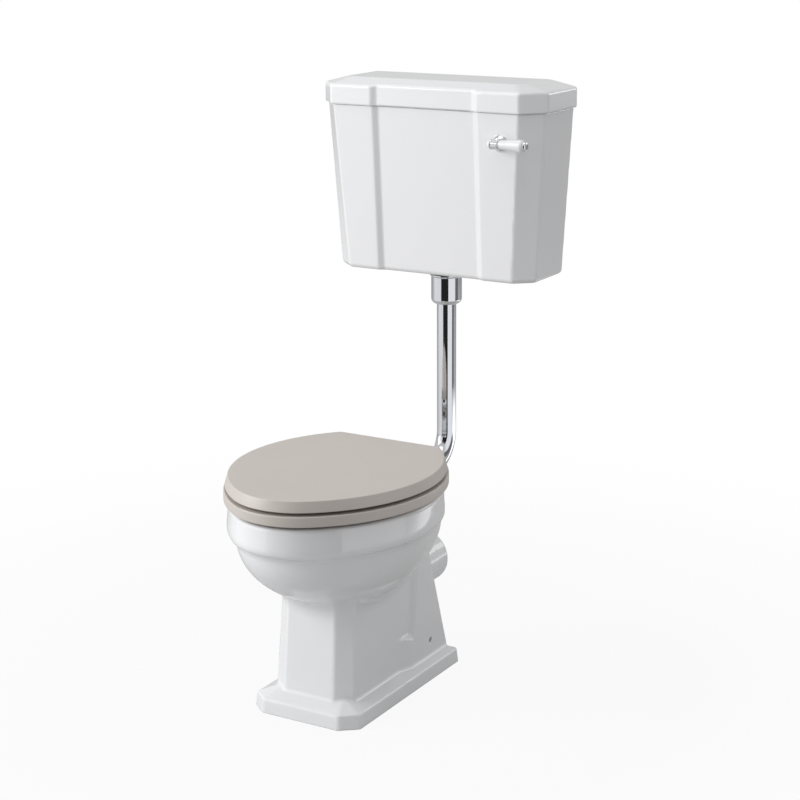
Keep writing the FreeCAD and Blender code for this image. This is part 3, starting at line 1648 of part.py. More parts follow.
def make_fill_valve():
    """Standing inlet valve: threaded tail, flange, pipe and level head, with its fixings and cap."""
    body = new_body("fill_valve_body")
    low = "-(tank_floor - cistern_bottom) - fill_tail_drop"
    stem = draw(
        new_sketch(body, "XZ_Plane"),
        [
            ("0", low),
            ("fill_inlet_radius", low),
            ("fill_inlet_radius", "cistern_foot - (tank_floor - cistern_bottom) - fill_nut"),
            ("fill_tail_radius", "cistern_foot - (tank_floor - cistern_bottom) - fill_nut"),
            ("fill_tail_radius", "fill_washer"),
            ("fill_flange_radius", "fill_washer"),
            ("fill_flange_radius", "fill_washer + fill_flange"),
            ("fill_pipe_radius", "fill_washer + fill_flange"),
            ("fill_pipe_radius", "fill_head_height"),
            ("0", "fill_head_height"),
        ],
    )
    turn(body, stem)
    head = draw_circle(
        new_sketch(body, "YZ_Plane", lift="-fill_head_left"), "0", "fill_head_height", "fill_head_radius"
    )
    pad(body, head, "fill_head_left + fill_head_right")
    bore = draw_circle(new_sketch(body, "XY_Plane", lift=low), "0", "0", "fill_bore")
    pocket(body, bore, f"fill_head_height - ({low})", reverse=True)
    seat = draw_circle(
        new_sketch(body, "YZ_Plane", lift="-fill_head_left"), "0", "fill_head_height", "fill_bore"
    )
    pocket(body, seat, "fill_head_left", reverse=True)
    place(body, "-fill_offset", "fill_place", "tank_floor")

    thread = "fill_tail_radius + running_gap"
    seal = washer("fill_valve_washer", "fill_flange_radius", thread, "fill_washer")
    place(seal, "-fill_offset", "fill_place", "tank_floor")
    nut = hex_nut("fill_valve_nut", "fill_nut_radius", thread, "fill_nut")
    place(nut, "-fill_offset", "fill_place", "tank_under - fill_nut")

    cap = new_body("fill_valve_cap")
    shell = draw(
        new_sketch(cap, "XY_Plane"),
        [
            ("0", "valve_pin_radius + running_gap"),
            ("fill_cap_length", "valve_pin_radius + running_gap"),
            ("fill_cap_length", "fill_cap_radius"),
            ("0", "fill_cap_radius"),
        ],
    )
    turn(cap, shell, "H_Axis")
    cup = draw_circle(
        new_sketch(cap, "YZ_Plane", lift="fill_cap_length"), "0", "0", "fill_head_radius + running_gap"
    )
    pocket(cap, cup, "fill_cap_overlap")
    for sign in (1, -1):
        ear = draw(
            new_sketch(cap, "XZ_Plane", lift=f"{sign} * (fill_ear_half_gap + fill_ear_width / 2)"),
            [
                ("1", "-pivot_drop - pivot_radius - fill_ear_width"),
                ("1", "0"),
                ("-fill_ear_reach", "pivot_radius + fill_ear_width - pivot_drop"),
                ("-fill_ear_reach - pivot_radius - fill_ear_width", "-pivot_drop"),
                ("-fill_ear_reach", "-pivot_drop - pivot_radius - fill_ear_width"),
            ],
        )
        pad(cap, ear, "fill_ear_width", both_ways=True)
    pivot_hole = draw_circle(
        new_sketch(cap, "XZ_Plane"), "-fill_ear_reach", "-pivot_drop", "pivot_radius + running_gap"
    )
    pocket(cap, pivot_hole, "4 * fill_cap_radius", both_ways=True)
    place(cap, "-fill_offset - cap_end", "fill_place", "fill_head")

    pivot = new_body("float_pivot_pin")
    rod = draw_circle(new_sketch(pivot, "XZ_Plane"), "0", "0", "pivot_radius")
    pad(pivot, rod, "2 * (fill_ear_half_gap + fill_ear_width + 1)", both_ways=True)
    place(pivot, "-fill_offset - pivot_reach", "fill_place", "fill_head - pivot_drop")

    plunger = new_body("fill_valve_pin")
    bar = draw_circle(new_sketch(plunger, "YZ_Plane"), "0", "0", "valve_pin_radius")
    pad(plunger, bar, "valve_pin_length")
    place(plunger, "nose_reach + clear_gap - fill_offset - pivot_reach", "fill_place", "fill_head")


def make_float():
    """Arm with a short nose above its pivot, and the hollow ball that lifts it, hanging down empty."""
    arm = new_body("float_arm")
    hub = draw_circle(new_sketch(arm, "XZ_Plane"), "0", "0", "float_arm_radius + pivot_radius")
    pad(arm, hub, "float_arm_width", both_ways=True)
    nose = draw(
        new_sketch(arm, "XZ_Plane"),
        [
            ("-float_arm_radius", "0"),
            ("float_arm_radius", "0"),
            ("float_arm_radius", "pivot_drop + valve_pin_radius"),
            ("-float_arm_radius", "pivot_drop + valve_pin_radius"),
        ],
    )
    pad(arm, nose, "float_arm_width", both_ways=True)
    rod = draw_circle(new_sketch(arm, "YZ_Plane"), "0", "0", "float_arm_radius")
    pad(arm, rod, "float_arm_length - float_radius + float_wall", reverse=True)
    bore = draw_circle(new_sketch(arm, "XZ_Plane"), "0", "0", "pivot_radius + running_gap")
    pocket(arm, bore, "2 * float_arm_width", both_ways=True)
    place(arm, "-fill_offset - pivot_reach", "fill_place", "fill_head - pivot_drop", "-float_angle")

    ball = new_body("float_ball")
    for radius, cut in (("float_radius", False), ("float_radius - float_wall", True)):
        half = draw(
            new_sketch(ball, "XZ_Plane", across="-float_arm_length"),
            [("0", f"-({radius})", radius), (radius, "0", radius), ("0", radius)],
        )
        turn(ball, half, cut=cut)
    socket = draw_circle(
        new_sketch(ball, "YZ_Plane"), "0", "0", "float_arm_radius + running_gap"
    )
    pocket(ball, socket, "float_arm_length", reverse=False)
    place(ball, "-fill_offset - pivot_reach", "fill_place", "fill_head - pivot_drop", "-float_angle")


make_pan()
make_seat_ring()
make_seat_lid()
make_buffers()
make_hinge_pillars()
make_hinge_bar()
make_knuckles("lid_knuckles", "lid_hinge_screws", "pillar_inner - knuckle_gap - knuckle_width / 2", 1)
make_knuckles("ring_knuckles", "ring_hinge_screws", "pillar_outer + knuckle_gap + knuckle_width / 2", -1)
make_hinge_fixings()
make_flush_pipe()
make_union_nut()
make_pipe_seals()
make_cistern()
make_cistern_lid()
make_siphon()
make_plunger()
make_lever_bush()
make_lever_outside()
make_lever_inside()
make_fill_valve()
make_float()
doc.recompute()

# Nothing is written unless every object of the document is sound.
faults = [thing.Label for thing in doc.Objects if {"Invalid", "Error"} & set(thing.State)]
faults += [part.Label for part in sub_parts if part.Shape.isNull() or not part.Shape.isValid()]
faults += [part.Label for part in sub_parts if not part.Shape.Solids]
if faults:
    raise RuntimeError("unsound objects: " + ", ".join(sorted(set(faults))))

os.makedirs("parts", exist_ok=True)
for part in sub_parts:
    part.Shape.exportStep(f"parts/{part.Label}.step")
    print(part.Label, len(part.Shape.Solids), round(part.Shape.Volume / 1000, 2), "cm3")
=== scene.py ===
import logging
import math
from collections.abc import Callable, Sequence
from dataclasses import dataclass
from enum import Enum

import bmesh
import bpy
import numpy as np
from mathutils import Matrix, Vector


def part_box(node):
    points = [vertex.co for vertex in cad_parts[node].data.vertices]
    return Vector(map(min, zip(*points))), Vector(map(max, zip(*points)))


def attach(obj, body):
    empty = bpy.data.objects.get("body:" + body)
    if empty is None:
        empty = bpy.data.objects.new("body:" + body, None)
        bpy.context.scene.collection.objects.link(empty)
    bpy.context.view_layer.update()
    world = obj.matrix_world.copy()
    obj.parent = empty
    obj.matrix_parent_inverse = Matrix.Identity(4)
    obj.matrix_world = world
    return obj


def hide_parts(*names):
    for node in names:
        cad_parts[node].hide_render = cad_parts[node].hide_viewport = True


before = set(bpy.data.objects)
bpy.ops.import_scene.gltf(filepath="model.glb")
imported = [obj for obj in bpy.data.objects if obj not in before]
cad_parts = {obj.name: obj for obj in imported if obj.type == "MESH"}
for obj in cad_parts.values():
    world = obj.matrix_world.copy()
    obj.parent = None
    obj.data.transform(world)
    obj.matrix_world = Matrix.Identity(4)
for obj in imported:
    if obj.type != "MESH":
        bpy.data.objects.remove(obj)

# Low level toilet. Lengths are in metres, +Z is up and +Y points to the wall.

Array = np.ndarray
Size = float | Array
Field = Callable[[Array, Array, Array], Array]
Pair = tuple[float, float]
Triple = tuple[float, float, float]

log = logging.getLogger("toilet")
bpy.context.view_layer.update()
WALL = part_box("cistern")[1].y
PAN_NODES = tuple(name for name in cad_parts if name.startswith("pan"))

# Limits: the sharp angle is in degrees, the straight one in radians.

LEAST_CORNER = 0.0005
LEAST_LENGTH = 1e-6
NEAR_ZERO = 1e-9
SHARP_ANGLE = 32.0
STRAIGHT_HALF_ANGLE = 1.56
JOINED_DISTANCE = 2e-6
EMPTY_EDGE = 1e-7


class Slot(Enum):
    """Material slots of the record."""

    CHINA = "china"
    SEAT = "seat_paint"
    RUBBER = "rubber"
    CHROME = "chrome"
    BRASS = "brass"
    STEEL = "steel"
    WHITE_PLASTIC = "white_plastic"
    DARK_PLASTIC = "dark_plastic"


class Body(Enum):
    """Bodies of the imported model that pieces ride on."""

    SUITE = "suite"
    SEAT = "seat"
    COVER = "seat_cover"
    TANK_COVER = "tank_cover"
    LEVER = "flush_lever"
    PLUNGER = "siphon_plunger"
    FLOAT = "float"
    PIN = "valve_pin"


class Axis(Enum):
    """Directions that a turned piece's axis can take, as (axis, first, second) unit vectors."""

    X = ((1, 0, 0), (0, 1, 0), (0, 0, 1))
    Y = ((0, 1, 0), (0, 0, 1), (1, 0, 0))
    Z = ((0, 0, 1), (1, 0, 0), (0, 1, 0))


# Fields: a solid is where its field is negative, and the field is about the distance to its face.


def soft_union(first: Array, second: Array, reach: float) -> Array:
    """Union of two fields, with the crease between them filled by a parabola.

    Args:
        first: field of one solid.
        second: field of the other solid.
        reach: difference between the fields below which they blend.

    Returns:
        The lesser field, lowered by up to a quarter of the reach where both are equal.
    """
    share = np.clip(0.5 + 0.5 * (second - first) / reach, 0.0, 1.0)
    return second + (first - second) * share - reach * share * (1.0 - share)


def soft_common(first: Array, second: Array, reach: float) -> Array:
    """Common part of two fields, with its edge worn off by a parabola; arguments as in soft_union."""
    return -soft_union(-first, -second, reach)


def soft_cut(solid: Array, space: Array, reach: float) -> Array:
    """Solid without a space, with a soft edge; arguments as in soft_union."""
    return soft_common(solid, -space, reach)


def round_common(first: Array, second: Array, radius: float) -> Array:
    """Common part of two fields, with a quarter circle along its edge.

    Args:
        first: field of one solid.
        second: field of the other solid.
        radius: radius of the edge where the two faces are square to each other.

    Returns:
        The field of the common part: outside the inner corner it is the distance to that corner.
    """
    corner = np.hypot(np.maximum(first + radius, 0.0), np.maximum(second + radius, 0.0))
    return np.minimum(np.maximum(first, second), -radius) + corner


def ramp(value: Array, low: Size, high: Size) -> Array:
    """Straight climb from 0 at low to 1 at high."""
    return np.clip((value - low) / (high - low), 0.0, 1.0)


def slant(across: Array, along: Array, start: tuple[Size, Size], stop: tuple[Size, Size]) -> Array:
    """Distance outwards from a slanting face in plan.

    Args:
        across: distance from the plane of symmetry.
        along: distance towards the front.
        start: end of the face on the front, as (across, along).
        stop: end of the face on the side, as (across, along).

    Returns:
        Signed distance, positive outside: the face runs from start to stop.
    """
    run, fall = stop[0] - start[0], start[1] - stop[1]
    return ((across - start[0]) * fall + (along - start[1]) * run) / np.hypot(run, fall)


@dataclass(frozen=True)
class Egg:
    """Plan outline made of a front arc, two long side arcs, two rear corners and a straight back.

    Reaches run forward and back from the widest line; forward is towards -Y.
    """

    half_width: Size
    reach: Size
    back: Size
    front_radius: Size
    corner: float

    def sizes(self) -> tuple[Size, Size, Size, Size]:
        """Sizes that change together when the outline grows."""
        return self.half_width, self.reach, self.back, self.front_radius

    def grown(self, amount: Size) -> "Egg":
        """Outline at a distance outside this one."""
        corner = max(self.corner + np.min(amount), LEAST_CORNER)
        return Egg(*(size + amount for size in self.sizes()), corner)

    def towards(self, other: "Egg", share: Array, extra: Array) -> "Egg":
        """Outline between this one and another, a share of the way, grown by an extra."""
        pairs = zip(self.sizes(), other.sizes())
        return Egg(*(low + (high - low) * share + extra for low, high in pairs), other.corner)

    def arcs(self) -> tuple[Size, Size, Size]:
        """Arcs that touch each other on the line through their centres.

        Returns:
            Drop of the front arc's centre, radius of the side arcs and offset of their centres.
        """
        drop = self.reach - self.front_radius
        rest = self.half_width - self.front_radius
        side = (self.half_width**2 + drop**2 - self.front_radius**2) / (2.0 * rest)
        return drop, side, self.half_width - side

    def distance(self, x: Array, y: Array) -> Array:
        """Signed distance from the outline: that of the front arc ahead of the line through both
        arcs' centres, that of the side arc behind it, cut off square at the back.

        Args:
            x: places across.
            y: places along.

        Returns:
            The distance, negative inside.
        """
        drop, side, offset = self.arcs()
        across = np.abs(x)
        ahead = y * offset - (across - offset) * drop
        front = np.hypot(across, y + drop) - self.front_radius
        flank = np.hypot(across - offset, y) - side
        return round_common(np.where(ahead > 0.0, front, flank), y - self.back, self.corner)

    def polar_radius(
        self, x: Array, y: Array, centre: float, steps: int = 10
    ) -> tuple[Array, Array]:
        """Distance of points from a centre on the axis, and the outline's own in their direction.

        Args:
            x: places across.
            y: places along.
            centre: place of the centre along.
            steps: how many steps along each ray find the outline.

        Returns:
            The points' distance and the outline's.
        """
        length = np.hypot(x, y - centre) + LEAST_LENGTH
        right, rear = x / length, (y - centre) / length
        radius = np.full_like(length, float(np.max(self.half_width)))
        for _ in range(steps):
            radius = radius - self.distance(right * radius, centre + rear * radius)
        return length, radius

    def outline(self, count: int, arc_points: int = 200) -> Array:
        """Points round the outline at even steps, from the front over the right to the back.

        Args:
            count: how many points, an even number.
            arc_points: how many points each arc has before the steps are made even.

        Returns:
            Array of shape (count, 2).
        """
        drop, side, offset = self.arcs()
        front_turn = math.atan2(-drop, -offset)
        rise = self.back - self.corner
        across = offset + math.sqrt((side - self.corner) ** 2 - rise**2)
        corner_turn = math.atan2(rise, across - offset)
        arcs = [
            (0.0, -drop, self.front_radius, -math.pi / 2, front_turn),
            (offset, 0.0, side, front_turn, corner_turn),
            (across, rise, self.corner, corner_turn, math.pi / 2),
        ]
        pieces = []
        for centre_x, centre_y, radius, first, last in arcs:
            angle = np.linspace(first, last, arc_points)
            arc = np.stack([np.cos(angle), np.sin(angle)], 1)
            pieces.append(np.array([centre_x, centre_y]) + radius * arc)
        pieces.append(np.array([[0.0, self.back]]))
        right = even_steps(np.concatenate(pieces), count // 2 + 1)
        left = right[-2:0:-1] * np.array([-1.0, 1.0])
        return np.concatenate([right, left])


def even_steps(line: Array, count: int) -> Array:
    """Points at even steps along a line of points.

    Args:
        line: array of shape (n, 2).
        count: how many points.

    Returns:
        Array of shape (count, 2).
    """
    steps = np.linalg.norm(np.diff(line, axis=0), axis=1)
    travelled = np.concatenate([[0.0], np.cumsum(steps)])
    wanted = np.linspace(0.0, travelled[-1], count)
    return np.stack([np.interp(wanted, travelled, column) for column in line.T], 1)


# Meshes


def new_piece(name: str, mesh: bpy.types.Mesh) -> bpy.types.Object:
    """Object for a mesh, linked into the scene.

    Args:
        name: the piece's name.
        mesh: its mesh.

    Returns:
        The new object.
    """
    piece = bpy.data.objects.new(name, mesh)
    bpy.context.scene.collection.objects.link(piece)
    return piece


def fill_mesh(name: str, points: Array, quads: Array) -> bpy.types.Mesh:
    """Mesh from points and quads.

    Args:
        name: the mesh's name.
        points: array of shape (n, 3).
        quads: numbers of points, as an array of shape (m, 4).

    Returns:
        The new mesh.
    """
    mesh = bpy.data.meshes.new(name)
    mesh.vertices.add(len(points))
    mesh.vertices.foreach_set("co", points.astype(np.float32).ravel())
    mesh.loops.add(quads.size)
    mesh.loops.foreach_set("vertex_index", quads.astype(np.int32).ravel())
    mesh.polygons.add(len(quads))
    mesh.polygons.foreach_set("loop_start", np.arange(0, quads.size, 4, dtype=np.int32))
    mesh.polygons.foreach_set("loop_total", np.full(len(quads), 4, dtype=np.int32))
    mesh.update(calc_edges=True)
    return mesh


def clean_mesh(mesh: bpy.types.Mesh, sharp: float = SHARP_ANGLE) -> None:
    """Join doubled points, turn the faces outwards and shade smoothly up to an angle.

    Args:
        mesh: the mesh.
        sharp: angle in degrees from which an edge stays sharp.
    """
    work = bmesh.new()
    work.from_mesh(mesh)
    bmesh.ops.remove_doubles(work, verts=work.verts, dist=JOINED_DISTANCE)
    bmesh.ops.dissolve_degenerate(work, edges=work.edges, dist=EMPTY_EDGE)
    bmesh.ops.recalc_face_normals(work, faces=work.faces)
    work.to_mesh(mesh)
    work.free()
    mesh.shade_smooth()
    mesh.set_sharp_from_angle(angle=math.radians(sharp))


def grid_piece(
    name: str, points: Array, closed_rows: bool = False, sharp: float = SHARP_ANGLE
) -> bpy.types.Object:
    """Surface through a grid of points, closed round its columns.

    Args:
        name: the piece's name.
        points: array of shape (rows, columns, 3).
        closed_rows: whether the last row joins the first.
        sharp: angle in degrees from which an edge stays sharp.

    Returns:
        The new object.
    """
    rows, columns = points.shape[:2]
    number = np.arange(rows * columns).reshape(rows, columns)
    here = number if closed_rows else number[:-1]
    above = np.roll(number, -1, axis=0) if closed_rows else number[1:]
    quads = np.stack([here, np.roll(here, -1, 1), np.roll(above, -1, 1), above], -1).reshape(-1, 4)
    mesh = fill_mesh(name, points.reshape(-1, 3), quads)
    clean_mesh(mesh, sharp)
    return new_piece(name, mesh)


def soft_profile(corners: Sequence[Triple], steps: int = 7) -> Array:
    """Open line through corners, each rounded by an arc that touches both of its sides.

    Args:
        corners: (first, second, radius) of each corner; the ends have radius 0.
        steps: points on each arc.

    Returns:
        Array of shape (n, 2).
    """
    spots = [np.array(corner[:2], float) for corner in corners]
    line = [spots[0][None]]
    for before, spot, after, corner in zip(spots, spots[1:], spots[2:], corners[1:-1]):
        into, out = (before - spot), (after - spot)
        into, out = into / np.linalg.norm(into), out / np.linalg.norm(out)
        half = math.acos(np.clip(into @ out, -1.0, 1.0)) / 2.0
        if corner[2] <= 0.0 or half > STRAIGHT_HALF_ANGLE:
            line.append(spot[None])
            continue
        centre = spot + (into + out) / np.linalg.norm(into + out) * corner[2] / math.sin(half)
        start = spot + into * corner[2] / math.tan(half) - centre
        stop = spot + out * corner[2] / math.tan(half) - centre
        share = np.linspace(0.0, 1.0, steps)[:, None]
        way = start * (1.0 - share) + stop * share
        line.append(centre + way / np.linalg.norm(way, axis=1, keepdims=True) * corner[2])
    line.append(spots[-1][None])
    return np.concatenate(line)


def turned(
    name: str, profile: Array, place: Sequence[float], axis: Axis, around: int = 72
) -> bpy.types.Object:
    """Turned piece: a profile of (radius, height) carried round an axis.

    Args:
        name: the piece's name.
        profile: array of shape (n, 2).
        place: point on the axis at height 0.
        axis: direction of the axis.
        around: points round the axis.

    Returns:
        The new object.
    """
    along, first, second = (np.array(way, float) for way in axis.value)
    angle = np.linspace(0.0, 2.0 * np.pi, around, endpoint=False)
    ring = np.cos(angle)[:, None] * first + np.sin(angle)[:, None] * second
    points = np.array(place) + profile[:, None, 1:2] * along + profile[:, None, 0:1] * ring
    return grid_piece(name, points)


@dataclass(frozen=True)
class Mesher:
    """Finds the skin of a field on a lattice of cells and draws it on to the field's zero."""

    axes: tuple[Array, Array, Array]
    small_step: float = 2e-4
    rounds: int = 4

    def slope(self, field: Field, points: Array) -> tuple[Array, Array]:
        """Field at points and its slope, by small steps each way.

        Args:
            field: function of x, y and z arrays.
            points: array of shape (n, 3).

        Returns:
            The field, of shape (n,), and its slope, of shape (n, 3).
        """
        columns = points.T
        value = field(*columns)
        slopes = []
        for way in range(3):
            ahead, behind = columns.copy(), columns.copy()
            ahead[way] += self.small_step
            behind[way] -= self.small_step
            slopes.append((field(*ahead) - field(*behind)) / (2.0 * self.small_step))
        return value, np.stack(slopes, 1)

    def cell_points(self, value: Array, cells: tuple[Array, Array, Array]) -> Array:
        """Mean of the places where each cell's edges cross zero.

        Args:
            value: field on the lattice.
            cells: numbers of the cells along each axis.

        Returns:
            One point for each cell, of shape (n, 3).
        """
        total = np.zeros((len(cells[0]), 3))
        count = np.zeros(len(cells[0]))
        corners = [(a, b, c) for a in (0, 1) for b in (0, 1) for c in (0, 1)]
        for low in corners:
            for way in range(3):
                if low[way] == 1:
                    continue
                high = tuple(step + (index == way) for index, step in enumerate(low))
                at_low = value[tuple(cell + step for cell, step in zip(cells, low))]
                at_high = value[tuple(cell + step for cell, step in zip(cells, high))]
                crossed = (at_low < 0) != (at_high < 0)
                share = np.where(crossed, at_low / np.where(crossed, at_low - at_high, 1.0), 0.0)
                spot = [axis[cell + step] for axis, cell, step in zip(self.axes, cells, low)]
                gap = self.axes[way][cells[way] + 1] - self.axes[way][cells[way]]
                spot[way] = spot[way] + share * gap
                total += np.stack(spot, 1) * crossed[:, None]
                count += crossed
        return total / count[:, None]

    def quads(self, inside: Array, number: Array) -> Array:
        """Four cells round every lattice edge that crosses the skin, turned outwards.

        Args:
            inside: whether each lattice place is inside the solid.
            number: number of each cell's point.

        Returns:
            Numbers of points, of shape (m, 4).
        """
        found = []
        for way in range(3):
            right, up = (way + 1) % 3, (way + 2) % 3
            turned_inside = np.moveaxis(inside, (way, right, up), (0, 1, 2))
            cells = np.moveaxis(number, (way, right, up), (0, 1, 2))
            low, high = turned_inside[:-1, 1:-1, 1:-1], turned_inside[1:, 1:-1, 1:-1]
            a, b, c = np.nonzero(low != high)
            ring = [cells[a, b, c], cells[a, b + 1, c], cells[a, b + 1, c + 1], cells[a, b, c + 1]]
            ring = np.stack(ring, 1)
            found.append(np.where(low[a, b, c][:, None], ring, ring[:, ::-1]))
        return np.concatenate(found)

    def piece(self, name: str, field: Field) -> bpy.types.Object:
        """Object for the skin of a field, shaded by the field's own slope.

        Args:
            name: the piece's name.
            field: function of x, y and z arrays that is negative inside the solid.

        Returns:
            The new object.
        """
        value = field(*np.meshgrid(*self.axes, indexing="ij", sparse=True))
        inside = value < 0
        cut = [slice(None, -1), slice(1, None)]
        count = sum(inside[a, b, c].astype(np.int8) for a in cut for b in cut for c in cut)
        mixed = (count > 0) & (count < 8)
        number = np.full(mixed.shape, -1)
        number[mixed] = np.arange(np.count_nonzero(mixed))
        points = self.cell_points(value, np.nonzero(mixed))
        step = min(float(np.diff(axis).min()) for axis in self.axes)
        for _ in range(self.rounds):
            height, slopes = self.slope(field, points)
            move = slopes * (height / (np.sum(slopes**2, 1) + NEAR_ZERO))[:, None]
            length = np.linalg.norm(move, axis=1, keepdims=True)
            points = points - move * np.minimum(1.0, step / np.maximum(length, NEAR_ZERO))
        mesh = fill_mesh(name, points, self.quads(inside, number))
        normals = self.slope(field, points)[1]
        normals /= np.linalg.norm(normals, axis=1, keepdims=True) + NEAR_ZERO
        mesh.shade_smooth()
        mesh.normals_split_custom_set_from_vertices(normals.astype(np.float32))
        return new_piece(name, mesh)


def graded(low: float, high: float, coarse: float, bands: Sequence[Triple] = ()) -> Array:
    """Lattice places from low to high.

    Args:
        low: first place.
        high: last place, which the last step may pass.
        coarse: usual step.
        bands: (start, stop, step) of stretches with a finer step.

    Returns:
        Array of places.
    """
    places = [low]
    while places[-1] < high:
        steps = [step for start, stop, step in bands if start <= places[-1] < stop]
        places.append(places[-1] + min(steps, default=coarse))
    return np.array(places)


# Finishes


class NodeBench:
    """Small helper that adds nodes to a tree and fills their sockets."""

    spacing = 180

    def __init__(self, tree: bpy.types.NodeTree) -> None:
        """Keep the tree and start an empty row of nodes."""
        self.tree = tree
        self.column = 0

    def add(
        self, kind: str, inputs: dict[str | int, object] | None = None, **settings: object
    ) -> bpy.types.Node:
        """New node of a kind.

        Args:
            kind: type of the node.
            inputs: what each input socket gets: an output to link it to, or a plain value.
            settings: the node's properties by name.

        Returns:
            The new node.
        """
        node = self.tree.nodes.new(kind)
        self.column += 1
        node.location = (self.spacing * self.column, 0)
        for name, value in settings.items():
            setattr(node, name, value)
        for socket, given in (inputs or {}).items():
            if isinstance(given, bpy.types.NodeSocket):
                self.tree.links.new(given, node.inputs[socket])
            else:
                node.inputs[socket].default_value = given
        return node


def mottle_group() -> bpy.types.NodeTree:
    """Node group that all finishes share: cloudy colour, patchy gloss and a fine skin.

    Returns:
        Group with the inputs Colour, Tint, Cloud Scale, Skin Scale, Stretch, Smooth and Rough, and
        the outputs Colour, Roughness and Height.
    """
    tree = bpy.data.node_groups.get("mottle")
    if tree:
        return tree
    tree = bpy.data.node_groups.new("mottle", "ShaderNodeTree")
    sockets = {
        "INPUT": {
            "Color": ("Colour", "Tint"),
            "Float": ("Cloud Scale", "Skin Scale", "Smooth", "Rough"),
            "Vector": ("Stretch",),
        },
        "OUTPUT": {"Color": ("Colour",), "Float": ("Roughness", "Height")},
    }
    for side, kinds in sockets.items():
        for kind, names in kinds.items():
            for name in names:
                tree.interface.new_socket(name, in_out=side, socket_type="NodeSocket" + kind)
    bench = NodeBench(tree)
    given = bench.add("NodeGroupInput").outputs
    place = bench.add("ShaderNodeTexCoord").outputs["Object"]
    cloud = bench.add(
        "ShaderNodeTexNoise",
        {"Vector": place, "Scale": given["Cloud Scale"], "Detail": 3.0},
    )
    stretched = bench.add("ShaderNodeVectorMath", {0: place, 1: given["Stretch"]}, operation="MULTIPLY")
    skin = bench.add(
        "ShaderNodeTexNoise",
        {"Vector": stretched.outputs["Vector"], "Scale": given["Skin Scale"], "Detail": 4.0},
    )
    blend = bench.add(
        "ShaderNodeMix",
        {"Factor": cloud.outputs["Fac"], 6: given["Colour"], 7: given["Tint"]},
        data_type="RGBA",
    )
    gloss = bench.add(
        "ShaderNodeMapRange",
        {"Value": skin.outputs["Fac"], "To Min": given["Smooth"], "To Max": given["Rough"]},
    )
    bench.add(
        "NodeGroupOutput",
        {
            "Colour": blend.outputs[2],
            "Roughness": gloss.outputs["Result"],
            "Height": skin.outputs["Fac"],
        },
    )
    return tree


def plain_material(name: str) -> tuple[bpy.types.Material, NodeBench]:
    """Empty node material.

    Args:
        name: the material's name.

    Returns:
        The material and a bench for its tree.
    """
    material = bpy.data.materials.new(name)
    material.use_nodes = True
    material.node_tree.nodes.clear()
    return material, NodeBench(material.node_tree)


@dataclass(frozen=True)
class Finish:
    """Procedural finish of one slot: two tones, a range of gloss and a fine skin."""

    slot: Slot
    colour: Triple
    tint: Triple
    smooth: float
    rough: float
    cloud_scale: float
    skin_scale: float
    stretch: Triple = (1.0, 1.0, 1.0)
    relief: float = 0.0002
    relief_strength: float = 0.35
    metal: float = 0.0
    coat: float = 0.0
    coat_roughness: float = 0.03
    index: float = 1.5

    def material(self) -> bpy.types.Material:
        """Mottle group that feeds one Principled shader.

        Returns:
            The new material.
        """
        material, bench = plain_material(self.slot.value + "_finish")
        mottle = bench.add(
            "ShaderNodeGroup",
            node_tree=mottle_group(),
            inputs={
                "Colour": (*self.colour, 1.0),
                "Tint": (*self.tint, 1.0),
                "Cloud Scale": self.cloud_scale,
                "Skin Scale": self.skin_scale,
                "Stretch": self.stretch,
                "Smooth": self.smooth,
                "Rough": self.rough,
            },
        ).outputs
        bump = bench.add(
            "ShaderNodeBump",
            {"Strength": self.relief_strength, "Distance": self.relief, "Height": mottle["Height"]},
        )
        shader = bench.add(
            "ShaderNodeBsdfPrincipled",
            {
                "Base Color": mottle["Colour"],
                "Roughness": mottle["Roughness"],
                "Normal": bump.outputs["Normal"],
                "Metallic": self.metal,
                "IOR": self.index,
                "Coat Weight": self.coat,
                "Coat Roughness": self.coat_roughness,
            },
        )
        bench.add("ShaderNodeOutputMaterial", {"Surface": shader.outputs["BSDF"]})
        return material


